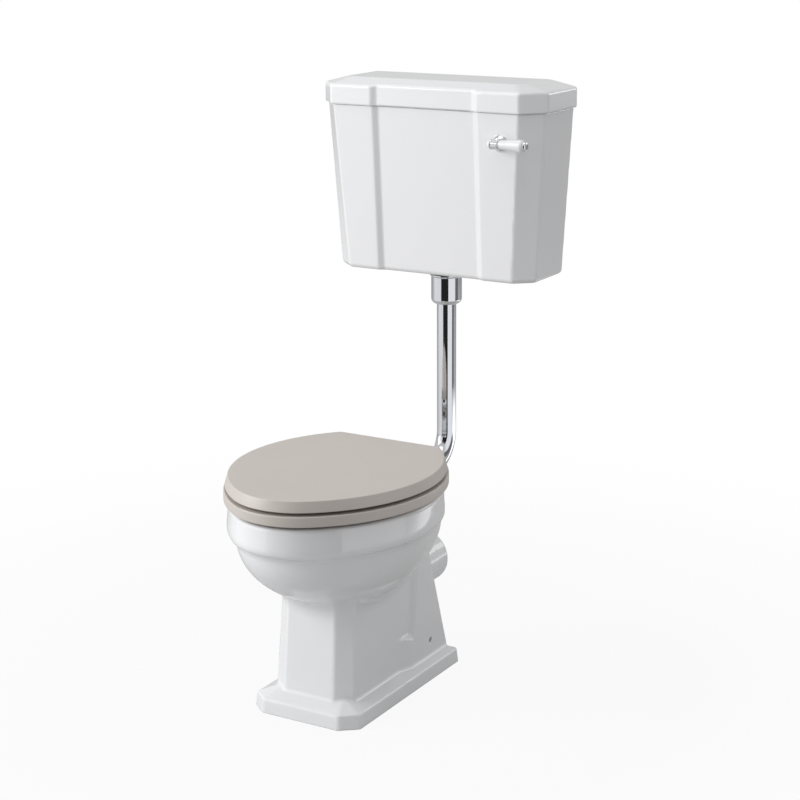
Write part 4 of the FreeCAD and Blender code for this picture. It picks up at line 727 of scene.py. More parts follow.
FINISHES = (
    Finish(
        Slot.CHINA,
        colour=(0.83, 0.835, 0.845),
        tint=(0.80, 0.805, 0.82),
        smooth=0.10,
        rough=0.16,
        cloud_scale=5.0,
        skin_scale=45.0,
        relief=0.0003,
        coat=0.5,
    ),
    Finish(
        Slot.SEAT,
        colour=(0.556, 0.514, 0.476),
        tint=(0.53, 0.49, 0.452),
        smooth=0.34,
        rough=0.46,
        cloud_scale=9.0,
        skin_scale=140.0,
        stretch=(1.0, 0.12, 1.0),
    ),
    Finish(
        Slot.RUBBER,
        colour=(0.022, 0.022, 0.023),
        tint=(0.035, 0.034, 0.033),
        smooth=0.55,
        rough=0.75,
        cloud_scale=40.0,
        skin_scale=600.0,
    ),
    Finish(
        Slot.CHROME,
        colour=(0.80, 0.81, 0.83),
        tint=(0.74, 0.75, 0.77),
        smooth=0.03,
        rough=0.09,
        cloud_scale=12.0,
        skin_scale=220.0,
        relief=0.00003,
        metal=1.0,
    ),
    Finish(
        Slot.BRASS,
        colour=(0.72, 0.53, 0.24),
        tint=(0.58, 0.41, 0.18),
        smooth=0.18,
        rough=0.34,
        cloud_scale=30.0,
        skin_scale=500.0,
        relief=0.0001,
        metal=1.0,
    ),
    Finish(
        Slot.STEEL,
        colour=(0.56, 0.56, 0.57),
        tint=(0.47, 0.47, 0.48),
        smooth=0.22,
        rough=0.38,
        cloud_scale=30.0,
        skin_scale=500.0,
        relief=0.0001,
        metal=1.0,
    ),
    Finish(
        Slot.WHITE_PLASTIC,
        colour=(0.79, 0.79, 0.77),
        tint=(0.74, 0.74, 0.71),
        smooth=0.28,
        rough=0.40,
        cloud_scale=15.0,
        skin_scale=300.0,
    ),
    Finish(
        Slot.DARK_PLASTIC,
        colour=(0.045, 0.045, 0.05),
        tint=(0.06, 0.06, 0.065),
        smooth=0.38,
        rough=0.52,
        cloud_scale=25.0,
        skin_scale=400.0,
    ),
)
MATERIALS = {finish.slot: finish.material() for finish in FINISHES}


def dress(piece: bpy.types.Object, body: Body, slot: Slot, *nodes: str) -> None:
    """Give a piece its finish and its body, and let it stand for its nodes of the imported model.

    Args:
        piece: the piece.
        body: body that it rides on.
        slot: its material slot.
        nodes: names of the nodes that it stands for.
    """
    piece.data.materials.clear()
    piece.data.materials.append(MATERIALS[slot])
    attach(piece, body.value)
    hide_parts(*nodes)
    log.info("%s rides %s in %s, %d faces", piece.name, body.value, slot.value, len(piece.data.polygons))


def smooth_copies(body: Body, slot: Slot, *nodes: str) -> None:
    """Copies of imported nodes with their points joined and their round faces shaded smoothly.

    Args:
        body: body that the copies ride on.
        slot: their material slot.
        nodes: names of the nodes.
    """
    for node in nodes:
        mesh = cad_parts[node].data.copy()
        mesh.name = node + "_smooth"
        clean_mesh(mesh)
        dress(new_piece(mesh.name, mesh), body, slot, node)


# Pan


@dataclass
class Pan:
    """Ceramic pan: a bowl with a rim band on a faceted pedestal and a plinth.

    Places along run back from the bowl's widest line, heights from the floor.
    """

    height: float = 0.400
    band: float = 0.060
    rim: Egg = Egg(0.183, 0.2405, 0.1925, 0.124, 0.070)
    bowl: Egg = Egg(0.171, 0.232, 0.180, 0.138, 0.070)
    mouth: Egg = Egg(0.122, 0.190, 0.125, 0.095, 0.060)
    rim_forward: float = 0.0095
    rim_step: float = 0.0015
    rim_bulge: float = 0.0065
    rim_bulge_span: Pair = (-0.14, 0.04)
    rim_turn: float = 9.0
    bowl_depth: float = 0.1436
    bowl_centre: float = 0.023
    bowl_fall: float = 1.81
    bowl_round: float = 2.15
    bowl_overlap: float = 0.02
    mouth_overlap: float = 0.006
    wall: float = 0.013
    plinth_height: float = 0.027
    ledge: float = 0.039
    plinth_half: float = 0.114
    plinth_front: float = 0.082
    plinth_reach: float = 0.150
    plinth_chamfer: float = 0.026
    plinth_back: float = 0.2445
    plinth_batter: float = 0.0035
    ledge_slope: float = 0.42
    column_top: float = 0.300
    column_half: float = 0.0845
    column_front: float = 0.053
    column_taper: float = 0.0092
    column_reach: Pair = (0.1175, 0.0965)
    column_chamfer: float = 0.023
    column_back: Pair = (0.236, 0.164)
    flare_start: Pair = (0.065, 0.015)
    flare_end: Pair = (0.103, 0.118)
    flare_swell: float = 0.0075
    recess_low: float = 0.102
    recess_back: float = 0.099
    recess_lean: float = 0.18
    recess_slope: float = 0.48
    recess_rise: float = 0.0006
    hollow_top: float = 0.150
    deck_half: float = 0.098
    deck_back: float = 0.232
    deck_thickness: float = 0.024
    deck_corner: float = 0.026
    bar_start: float = 0.1
    horn_height: float = 0.356
    horn_radius: float = 0.033
    horn_bore: float = 0.026
    horn_back: float = 0.262
    outlet_back: float = 0.313
    outlet_height: float = 0.180
    outlet_radius: float = 0.052
    outlet_step: float = 0.002
    outlet_spigot: float = 0.040
    outlet_slope: float = 0.002
    outlet_bore: float = 0.042
    throat_radius: float = 0.032
    throat_place: float = 0.020
    throat_span: Pair = (0.11, 0.28)
    hole_radius: float = 0.0055
    hole_back: float = 0.172
    hole_height: float = 0.0645
    edge: float = 0.006
    fine_edge: float = 0.0015
    bar_edge: float = 0.005
    bore_edge: float = 0.003
    mouth_edge: float = 0.010
    crease_edge: float = 0.010
    plinth_edge: float = 0.003
    ledge_edge: float = 0.0022
    column_edge: float = 0.0025
    recess_edge: float = 0.001
    recess_blend: float = 0.0008
    form_blend: float = 0.012
    foot_blend: float = 0.006
    neck_blend: float = 0.026
    horn_blend: float = 0.010
    throat_blend: float = 0.014

    def __post_init__(self) -> None:
        """Find the bowl's widest line from the outlet's end, and the crease below the rim band."""
        boxes = [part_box(node) for node in PAN_NODES]
        self.low = np.min([box[0] for box in boxes], axis=0)
        self.high = np.max([box[1] for box in boxes], axis=0)
        self.middle = self.high[1] - self.outlet_back
        self.crease = self.height - self.band

    def basin(self, egg: Egg, x: Array, along: Array, z: Array, top: float) -> Array:
        """Bowl whose plan shrinks downwards: share of depth to one power plus share of radius to
        another is 1 on its face, and the excess over the slope is about the distance.

        Args:
            egg: plan at the top.
            x: places across.
            along: places along.
            z: heights.
            top: height of the top.

        Returns:
            Field of the bowl, which goes on upright above its top.
        """
        length, radius = egg.polar_radius(x, along, self.bowl_centre)
        share = length / radius
        deep = np.clip((top - z) / self.bowl_depth, 0.0, None)
        level = share**self.bowl_round + deep**self.bowl_fall - 1.0
        sideways = self.bowl_round * share ** (self.bowl_round - 1.0) / radius
        upright = self.bowl_fall * deep ** (self.bowl_fall - 1.0) / self.bowl_depth
        return level / np.sqrt(sideways**2 + upright**2 + 1.0)

    def rim_band(self, x: Array, along: Array, z: Array) -> Array:
        """Band over the crease, and the deck behind it.

        The band's plan grows outwards with a quick start, then leans in to the top. The plan's
        distance is divided by the length of the band's slope, which gives about the distance.

        Args:
            x: places across.
            along: places along.
            z: heights.

        Returns:
            Field of the band and the deck.
        """
        left = 1.0 - np.clip((z - self.crease) / self.band, 0.0, 1.0)
        out = 1.0 - left**self.rim_turn
        extra = self.rim_bulge * left * out * ramp(-along, *self.rim_bulge_span)
        egg = self.bowl.grown(self.rim_step).towards(self.rim, out, extra)
        growth = self.rim.half_width - self.bowl.half_width + self.rim_bulge
        steep = growth / self.band * self.rim_turn * left ** (self.rim_turn - 1.0)
        band = egg.distance(x, along + out * self.rim_forward) / np.hypot(1.0, steep)
        band = soft_common(band, self.crease - z, self.crease_edge)
        deck = round_common(np.abs(x) - self.deck_half, along - self.deck_back, self.deck_corner)
        deck = np.maximum(deck, self.mouth.back - along)
        deck = round_common(deck, self.height - self.deck_thickness - z, self.edge)
        return soft_union(band, deck, self.form_blend)

    def column(self, across: Array, along: Array, z: Array) -> Array:
        """Pedestal: front, chamfer, side and back faces that lean in upwards, with the side pushed
        out by the flare except where the recess caps it.

        Args:
            across: distances from the plane of symmetry.
            along: places along.
            z: heights.

        Returns:
            Field of the pedestal, without an end above or below.
        """
        share = ramp(z, self.ledge, self.column_top)

        def lean(pair: Pair) -> Array:
            """Size between its value on the ledge and its value at the top."""
            return pair[0] + (pair[1] - pair[0]) * share

        side = self.column_half - self.column_taper * share
        front = self.column_front - self.column_taper * share / 2.0
        reach = lean(self.column_reach)
        flare = self.flare_swell * ramp(along, lean(self.flare_start), lean(self.flare_end))
        rear_edge = self.recess_back + self.recess_lean * (z - self.recess_low)
        outside = soft_common(along - rear_edge, self.recess_low - z, self.recess_edge)
        outside = soft_common(outside, 0.0 * outside, self.recess_edge)
        cap = self.recess_rise + self.recess_slope * outside
        swell = soft_union(flare, cap, self.recess_blend)
        corner = slant(across, -along, (front, reach), (side, reach - self.column_chamfer))
        face = soft_common(-along - reach, corner, self.column_edge)
        face = soft_common(face, across - side - swell, self.column_edge)
        return round_common(face, along - lean(self.column_back), self.edge)

    def plinth(self, across: Array, along: Array, z: Array) -> Array:
        """Low block that leans in upwards, with cut front corners and a top that slopes to the pedestal.

        Args:
            across: distances from the plane of symmetry.
            along: places along.
            z: heights.

        Returns:
            Field of the plinth, without an end below.
        """
        stop = (self.plinth_half, self.plinth_reach - self.plinth_chamfer)
        corner = slant(across, -along, (self.plinth_front, self.plinth_reach), stop)
        plan = soft_common(-along - self.plinth_reach, corner, self.plinth_edge)
        plan = soft_common(plan, across - self.plinth_half, self.plinth_edge)
        plan = plan + self.plinth_batter * z / self.plinth_height
        plan = round_common(plan, along - self.plinth_back, self.edge)
        top = (z - self.plinth_height + self.ledge_slope * plan) / math.hypot(1.0, self.ledge_slope)
        return round_common(plan, top, self.ledge_edge)

    def level_bar(self, ring: Array, along: Array, radius: Size, start: float, stop: float) -> Array:
        """Round bar along Y between two places, from the distances to its axis."""
        bar = round_common(ring - radius, along - stop, self.bar_edge)
        return np.maximum(bar, start - along)

    def spaces(self, x: Array, along: Array, z: Array) -> Array:
        """Mouth, inside of the bowl and the way down into the trap.

        Args:
            x: places across.
            along: places along.
            z: heights.

        Returns:
            Field of the spaces together.
        """
        under = self.crease + self.wall
        mouth = np.maximum(self.mouth.distance(x, along), under - self.mouth_overlap - z)
        inside = np.maximum(self.basin(self.bowl.grown(-self.wall), x, along, z, under), z - under)
        throat = np.hypot(x, along - self.throat_place) - self.throat_radius
        throat = np.maximum(throat, np.maximum(z - self.throat_span[1], self.throat_span[0] - z))
        return soft_union(soft_union(mouth, inside, self.form_blend), throat, self.throat_blend)

    def field(self, x: Array, y: Array, z: Array) -> Array:
        """The whole casting: soft unions of its forms, then soft cuts of its spaces.

        Args:
            x: places across.
            y: places along, in the shared frame.
            z: heights.

        Returns:
            Field of the casting.
        """
        along, across = y - self.middle, np.abs(x)
        bowl = self.basin(self.bowl, x, along, z, self.crease)
        bowl = np.maximum(bowl, z - self.crease - self.bowl_overlap)
        column = self.column(across, along, z)
        raised = np.maximum(column, z - self.column_top)
        foot = soft_union(raised, self.plinth(across, along, z), self.foot_blend)
        solid = soft_union(bowl, self.rim_band(x, along, z), self.form_blend)
        solid = soft_union(solid, foot, self.neck_blend)
        to_horn = np.hypot(x, z - self.horn_height)
        to_outlet = np.hypot(x, z - self.outlet_height)
        horn = self.level_bar(to_horn, along, self.horn_radius, self.bar_start, self.horn_back)
        shoulder = self.outlet_back - self.outlet_spigot
        step = self.outlet_step * (1.0 - ramp(along, shoulder, shoulder + self.outlet_slope))
        outlet = self.level_bar(
            to_outlet, along, self.outlet_radius + step, self.bar_start, self.outlet_back
        )
        solid = soft_union(soft_union(solid, horn, self.horn_blend), outlet, self.form_blend)
        solid = round_common(solid, z - self.height, self.edge)
        solid = soft_cut(solid, self.spaces(x, along, z), self.mouth_edge)
        hole = np.hypot(along - self.hole_back, z - self.hole_height) - self.hole_radius
        hole = np.maximum(hole, self.column_half / 2.0 - across)
        solid = soft_cut(solid, hole, self.fine_edge)
        hollow = np.maximum(column + self.wall, z - self.hollow_top)
        start = self.outlet_back - self.outlet_radius
        bore = self.level_bar(to_outlet, along, self.outlet_bore, start, math.inf)
        inlet = self.level_bar(to_horn, along, self.horn_bore, self.mouth.back, math.inf)
        for space in (hollow, bore, inlet):
            solid = soft_cut(solid, space, self.bore_edge)
        return round_common(solid, -z, self.fine_edge)

    def build(self) -> None:
        """Mesh the casting, with finer cells at its edges, creases and small holes, and dress it."""
        margin, below, above = 0.008, 0.004, 0.005
        cell, fine = 0.0042, 0.0022
        reach = 0.010
        places = (self.hole_back, self.outlet_back - self.outlet_spigot)
        steps = [(self.middle + place - reach, self.middle + place + reach, fine) for place in places]
        sole = (-0.001, 0.005, 0.0020)
        ledge = (0.025, 0.044, 0.0028)
        hole = (self.hole_height - 0.009, self.hole_height + 0.009, fine)
        crease = (self.crease - 0.012, self.crease + 0.016, 0.0018)
        brim = (self.height - 0.012, self.height + 0.005, fine)
        axes = (
            graded(self.low[0] - margin, self.high[0] + margin, cell),
            graded(self.low[1] - margin, self.high[1] + margin, cell, steps),
            graded(self.low[2] - below, self.high[2] + above, cell, (sole, ledge, hole, crease, brim)),
        )
        casting = Mesher(axes).piece("pan_casting", self.field)
        dress(casting, Body.SUITE, Slot.CHINA, *PAN_NODES)


# Cistern


@dataclass
class Cistern:
    """Ceramic tank that widens upwards and its lift-off cover, with two pilasters on the front.

    A pair of sizes holds the one at the tank's foot and the one at its top.
    """

    half: Pair = (0.214, 0.234)
    depth: Pair = (0.142, 0.163)
    chamfer: Pair = (0.030, 0.039)
    chamfer_width: float = 0.035
    wall: float = 0.010
    floor: float = 0.020
    foot: float = 0.008
    foot_width: float = 0.018
    panel_half: float = 0.103
    panel_bevel: float = 0.011
    panel_recess: float = 0.006
    fixing_half: float = 0.100
    fixing_height: float = 0.280
    fixing_radius: float = 0.005
    cover_half: float = 0.241
    cover_depth: float = 0.168
    cover_setback: float = 0.001
    cover_band: float = 0.038
    cover_chamfer: float = 0.043
    cover_chamfer_width: float = 0.039
    cover_runs: tuple[float, float, float, float] = (0.051, 0.038, 0.044, 0.013)
    cover_border: float = 0.024
    cover_hollow: float = 0.031
    lip: float = 0.008
    lip_place: float = 0.016
    lip_half_width: float = 0.003
    lip_sunk: float = 0.004
    panel_edge: float = 0.0016
    corner_edge: float = 0.0022
    wall_edge: float = 0.004
    foot_edge: float = 0.009
    top_edge: float = 0.003
    inside_corner: float = 0.008
    inside_foot: float = 0.012
    space_edge: float = 0.002
    hip_edge: float = 0.0014
    roof_edge: float = 0.0045
    hollow_corner: float = 0.006
    hollow_edge: float = 0.003
    lip_edge: float = 0.0015
    cell: float = 0.0058
    fine_cell: float = 0.0032

    def __post_init__(self) -> None:
        """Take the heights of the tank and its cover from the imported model."""
        self.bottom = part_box("cistern")[0].z
        self.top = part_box("cistern")[1].z
        self.cover_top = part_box("cistern_lid")[1].z

    def plan(
        self, across: Array, ahead: Array, sizes: tuple[Size, Size, Size, float]
    ) -> tuple[Array, Array]:
        """Front, chamfer and side faces in plan, with the panel set back between the pilasters.

        Args:
            across: distances from the plane of symmetry.
            ahead: distances in front of the wall.
            sizes: half width, depth, chamfer's depth and chamfer's width.

        Returns:
            The plan's field and the chamfer's own.
        """
        half, depth, chamfer, width = sizes
        bevel = (self.panel_half + self.panel_bevel - across) * self.panel_recess / self.panel_bevel
        recess = soft_union(bevel, np.full_like(bevel, self.panel_recess), self.panel_edge)
        recess = soft_common(recess, 0.0 * recess, self.panel_edge)
        corner = slant(across, ahead, (half - width, depth), (half, depth - chamfer))
        plan = soft_common(ahead - depth + recess, corner, self.corner_edge)
        return soft_common(plan, across - half, self.corner_edge), corner

    def tank_plan(self, across: Array, ahead: Array, height: Array) -> Array:
        """Plan of the tank at a height, between its foot's sizes and its top's.

        Args:
            across: distances from the plane of symmetry.
            ahead: distances in front of the wall.
            height: heights over the foot.

        Returns:
            The plan's field.
        """
        share = ramp(height, 0.0, self.top - self.bottom)
        pairs = (self.half, self.depth, self.chamfer)
        half, depth, chamfer = (low + (high - low) * share for low, high in pairs)
        return self.plan(across, ahead, (half, depth, chamfer, self.chamfer_width))[0]

    def tank(self, x: Array, y: Array, z: Array) -> Array:
        """Tank: its plan, cut at the wall, the foot and the top, less the inside and its holes.

        Args:
            x: places across.
            y: places along.
            z: heights.

        Returns:
            Field of the tank.
        """
        across, ahead, height = np.abs(x), WALL - y, z - self.bottom
        plan = self.tank_plan(across, ahead, height)
        solid = round_common(round_common(plan, -ahead, self.wall_edge), -height, self.foot_edge)
        solid = round_common(solid, height - (self.top - self.bottom), self.top_edge)
        inside = round_common(plan + self.wall, self.wall - ahead, self.inside_corner)
        inside = round_common(inside, self.floor - height, self.inside_foot)
        under = np.maximum(plan + self.foot_width, self.foot_width - ahead)
        under = np.maximum(under, height - self.foot)
        hole = np.hypot(across - self.fixing_half, height - self.fixing_height) - self.fixing_radius
        hole = np.maximum(hole, ahead - 3.0 * self.wall)
        for space in (inside, under, hole):
            solid = soft_cut(solid, space, self.space_edge)
        return solid

    def cover(self, x: Array, y: Array, z: Array) -> Array:
        """Cover: an upright band under four hips and a flat, hollow below, with a locating lip.

        Args:
            x: places across.
            y: places along.
            z: heights.

        Returns:
            Field of the cover.
        """
        across, ahead, height = np.abs(x), WALL - y, z - self.top
        sizes = (self.cover_half, self.cover_depth, self.cover_chamfer, self.cover_chamfer_width)
        plan, corner = self.plan(across, ahead, sizes)
        rise = self.cover_top - self.top - self.cover_band
        insides = (self.cover_half - across, self.cover_depth - ahead, -corner, ahead - self.cover_setback)
        roof = height - self.cover_band - rise
        for inside, run in zip(insides, self.cover_runs):
            roof = soft_common(roof, height - self.cover_band - rise * inside / run, self.hip_edge)
        solid = round_common(plan, self.cover_setback - ahead, self.wall_edge)
        solid = round_common(round_common(solid, roof, self.roof_edge), -height, self.corner_edge)
        hollow = round_common(plan + self.cover_border, self.cover_border - ahead, self.hollow_corner)
        hollow = round_common(hollow, height - self.cover_hollow, self.hollow_corner)
        solid = soft_cut(solid, hollow, self.hollow_edge)
        tank = self.tank_plan(across, ahead, self.top - self.bottom + 0.0 * across)
        lip = np.abs(np.maximum(tank, -ahead) + self.lip_place) - self.lip_half_width
        lip = round_common(np.maximum(lip, height - self.lip_sunk), -height - self.lip, self.lip_edge)
        return np.minimum(solid, lip)

    def columns(self, half: float) -> Array:
        """Lattice places across: fine at the panel's bevels and the chamfers, coarse between.

        Args:
            half: half width of the piece.

        Returns:
            Array of places.
        """
        left_margin, right_margin = 0.010, 0.008
        bevel = (self.panel_half + self.panel_bevel / 2.0, 0.010)
        chamfer = (half - 0.018, 0.030)
        bands = [
            (sign * centre - reach, sign * centre + reach, self.fine_cell)
            for sign in (-1.0, 1.0)
            for centre, reach in (bevel, chamfer)
        ]
        return graded(-half - left_margin, half + right_margin, self.cell, bands)

    def build(self) -> None:
        """Mesh the tank and the cover and dress them."""
        margin, above = 0.006, 0.005
        along_cell, cover_cell = 0.0040, 0.0026
        front = WALL - self.cover_depth
        along = graded(front - margin, WALL + margin, along_cell)
        foot = (self.bottom - margin, self.bottom + 0.030, 0.0035)
        brim = (self.top - 0.010, self.top + margin, 0.0025)
        upright = graded(self.bottom - margin, self.top + above, self.cell, (foot, brim))
        tank = Mesher((self.columns(self.half[1]), along, upright))
        dress(tank.piece("tank_casting", self.tank), Body.SUITE, Slot.CHINA, "cistern")
        raised = graded(self.top - self.lip - above, self.cover_top + above, cover_cell)
        cover = Mesher((self.columns(self.cover_half), along, raised))
        dress(cover.piece("tank_cover_casting", self.cover), Body.TANK_COVER, Slot.CHINA, "cistern_lid")


# Seat


@dataclass
class Seat:
    """Painted wooden ring, and a cover whose edge leans in upwards."""

    outside: Egg = Egg(0.1925, 0.2475, 0.1935, 0.131, 0.012)
    hole: Egg = Egg(0.115, 0.175, 0.115, 0.090, 0.070)
    ring_edge: float = 0.002
    lid_setback: float = 0.0025
    lid_taper: float = 0.006
    lid_edge: float = 0.0016
    lid_sharp: float = 20.0
    flat: float = 0.008
    flat_shares: tuple[float, ...] = (0.0, 0.3, 0.6, 0.85)
    centre: float = -0.030
    points: int = 360

    def __post_init__(self) -> None:
        """Find the widest line from the ring's front edge."""
        self.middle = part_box("seat_ring")[0].y + self.outside.reach

    def row(self, egg: Egg, inset: float, height: float, scale: float = 1.0) -> Array:
        """Outline moved inwards, at a height, shrunk towards the centre of the seat.

        Args:
            egg: outline at inset 0.
            inset: distance inwards.
            height: height of the row.
            scale: size after the shrinking, as a share.

        Returns:
            Array of shape (points, 3).
        """
        plan = egg.grown(-inset).outline(self.points)
        plan = (plan - (0.0, self.centre)) * scale + (0.0, self.centre + self.middle)
        return np.column_stack([plan, np.full(len(plan), height)])

    def rows(self, egg: Egg, corners: Sequence[Triple]) -> list[Array]:
        """Rows of an outline along a section with corners of (inset, height, radius)."""
        return [self.row(egg, inset, height) for inset, height in soft_profile(corners)]

    def ring(self) -> bpy.types.Object:
        """Ring: its section goes down the outer face and up the face of the hole.

        Returns:
            The new object.
        """
        low, high = (corner.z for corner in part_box("seat_ring"))
        flat, edge = self.flat, self.ring_edge
        outer = [(flat, high, 0.0), (0.0, high, edge), (0.0, low, edge), (flat, low, 0.0)]
        inner = [(-flat, low, 0.0), (0.0, low, edge), (0.0, high, edge), (-flat, high, 0.0)]
        rows = self.rows(self.outside, outer) + self.rows(self.hole, inner)
        return grid_piece("painted_ring", np.array(rows), closed_rows=True)

    def cover(self) -> bpy.types.Object:
        """Cover: its section goes from the middle below, up the leaning edge, to the middle above.

        Returns:
            The new object.
        """
        low, high = (corner.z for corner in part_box("seat_lid"))
        egg = self.outside.grown(-self.lid_setback)
        flat, edge, taper = self.flat, self.lid_edge, self.lid_taper
        section = [(flat, low, 0.0), (0.0, low, edge), (taper, high, edge), (taper + flat, high, 0.0)]
        rows = [self.row(egg, flat, low, share) for share in self.flat_shares]
        rows += self.rows(egg, section)
        rows += [self.row(egg, taper + flat, high, share) for share in self.flat_shares[::-1]]
        return grid_piece("painted_cover", np.array(rows), sharp=self.lid_sharp)

    def build(self) -> None:
        """Build the ring and the cover and dress them."""
        dress(self.ring(), Body.SEAT, Slot.SEAT, "seat_ring")
        dress(self.cover(), Body.COVER, Slot.SEAT, "seat_lid")


class SeatHinge:
    """Chrome hinge, its fixings and the rubber pads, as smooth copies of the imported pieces."""

    def build(self) -> None:
        """Copy and dress each piece."""
        smooth_copies(Body.SUITE, Slot.CHROME, "hinge_pillars", "hinge_bar")
        smooth_copies(Body.SUITE, Slot.BRASS, "hinge_studs", "hinge_wing_nuts")
        smooth_copies(Body.SUITE, Slot.RUBBER, "hinge_washers")
        smooth_copies(Body.SEAT, Slot.CHROME, "ring_knuckles", "ring_hinge_screws")
        smooth_copies(Body.COVER, Slot.CHROME, "lid_knuckles", "lid_hinge_screws")
        smooth_copies(Body.SEAT, Slot.RUBBER, "seat_buffers")
        smooth_copies(Body.COVER, Slot.RUBBER, "lid_buffers")


# Flush pipe


@dataclass
class FlushPipe:
    """Bent chrome tube with its union nut, washer and sleeve."""

    radius: float = 0.019
    wall: float = 0.0015
    bend: float = 0.061
    bend_steps: int = 33
    tube_sharp: float = 50.0
    collar_radius: float = 0.0225
    nut_clearance: float = 0.0003
    nut_radius: float = 0.030
    nut_edge: float = 0.002
    nut_flange_radius: float = 0.0325
    nut_flange: float = 0.005
    nut_flange_edge: float = 0.0008
    nut_lip: float = 0.007
    nut_round: float = 0.010
    nut_bore: float = 0.02355
    nut_steps: int = 11
    around: int = 96

    def __post_init__(self) -> None:
        """Take the tube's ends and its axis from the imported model."""
        low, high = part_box("flush_pipe")
        self.front, self.top = low.y, high.z
        self.axis = high.y - max(self.radius, self.collar_radius)
        self.run_height = low.z + self.radius

    def path(self) -> tuple[Array, Array]:
        """Centre line from the top: straight down, a quarter bend, straight forward.

        Returns:
            Points (y, z) and the sideways direction of the tube's section at each.
        """
        turn = np.linspace(0.0, math.pi / 2.0, self.bend_steps)
        side = np.stack([np.cos(turn), -np.sin(turn)], 1)
        arc = np.array([self.axis - self.bend, self.run_height + self.bend]) + self.bend * side
        line = np.concatenate([[[self.axis, self.top]], arc, [[self.front, self.run_height]]])
        return line, np.concatenate([[[1.0, 0.0]], side, [[0.0, -1.0]]])

    def tube(self) -> bpy.types.Object:
        """Tube: a circle along the path for the outside and back along it for the bore.

        Returns:
            The new object.
        """
        line, side = self.path()
        angle = np.linspace(0.0, 2.0 * np.pi, self.around, endpoint=False)
        rows = []
        for radius, order in ((self.radius, 1), (self.radius - self.wall, -1)):
            across = np.broadcast_to(radius * np.cos(angle), (len(line), self.around))
            out = radius * np.sin(angle)[None, :, None] * side[:, None, :] + line[:, None, :]
            rows.append(np.concatenate([across[..., None], out], -1)[::order])
        return grid_piece("chrome_tube", np.concatenate(rows), closed_rows=True, sharp=self.tube_sharp)

    def nut(self) -> bpy.types.Object:
        """Round cup nut: a turned profile with a rounded foot and a thin flange.

        Returns:
            The new object.
        """
        low, high = (corner.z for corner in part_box("flush_pipe_nut"))
        height = high - low
        inner = self.radius + self.nut_clearance
        corners = [
            (inner, 0.0, 0.0),
            (self.nut_radius, 0.0, self.nut_round),
            (self.nut_radius, height - self.nut_flange, self.nut_edge),
            (self.nut_flange_radius, height - self.nut_flange / 2.0, self.nut_flange_edge),
            (self.nut_flange_radius, height, self.nut_flange_edge),
            (self.nut_bore, height, 0.0),
            (self.nut_bore, self.nut_lip, 0.0),
            (inner, self.nut_lip, 0.0),
            (inner, 0.0, 0.0),
        ]
        profile = soft_profile(corners, self.nut_steps)
        return turned("chrome_union_nut", profile, (0.0, self.axis, low), Axis.Z, self.around)

    def build(self) -> None:
        """Build the tube and the nut, copy the seals and dress them all."""
        dress(self.tube(), Body.SUITE, Slot.CHROME, "flush_pipe")
        dress(self.nut(), Body.SUITE, Slot.CHROME, "flush_pipe_nut")
        smooth_copies(Body.SUITE, Slot.RUBBER, "flush_pipe_washer", "inlet_cone")


# Flush lever


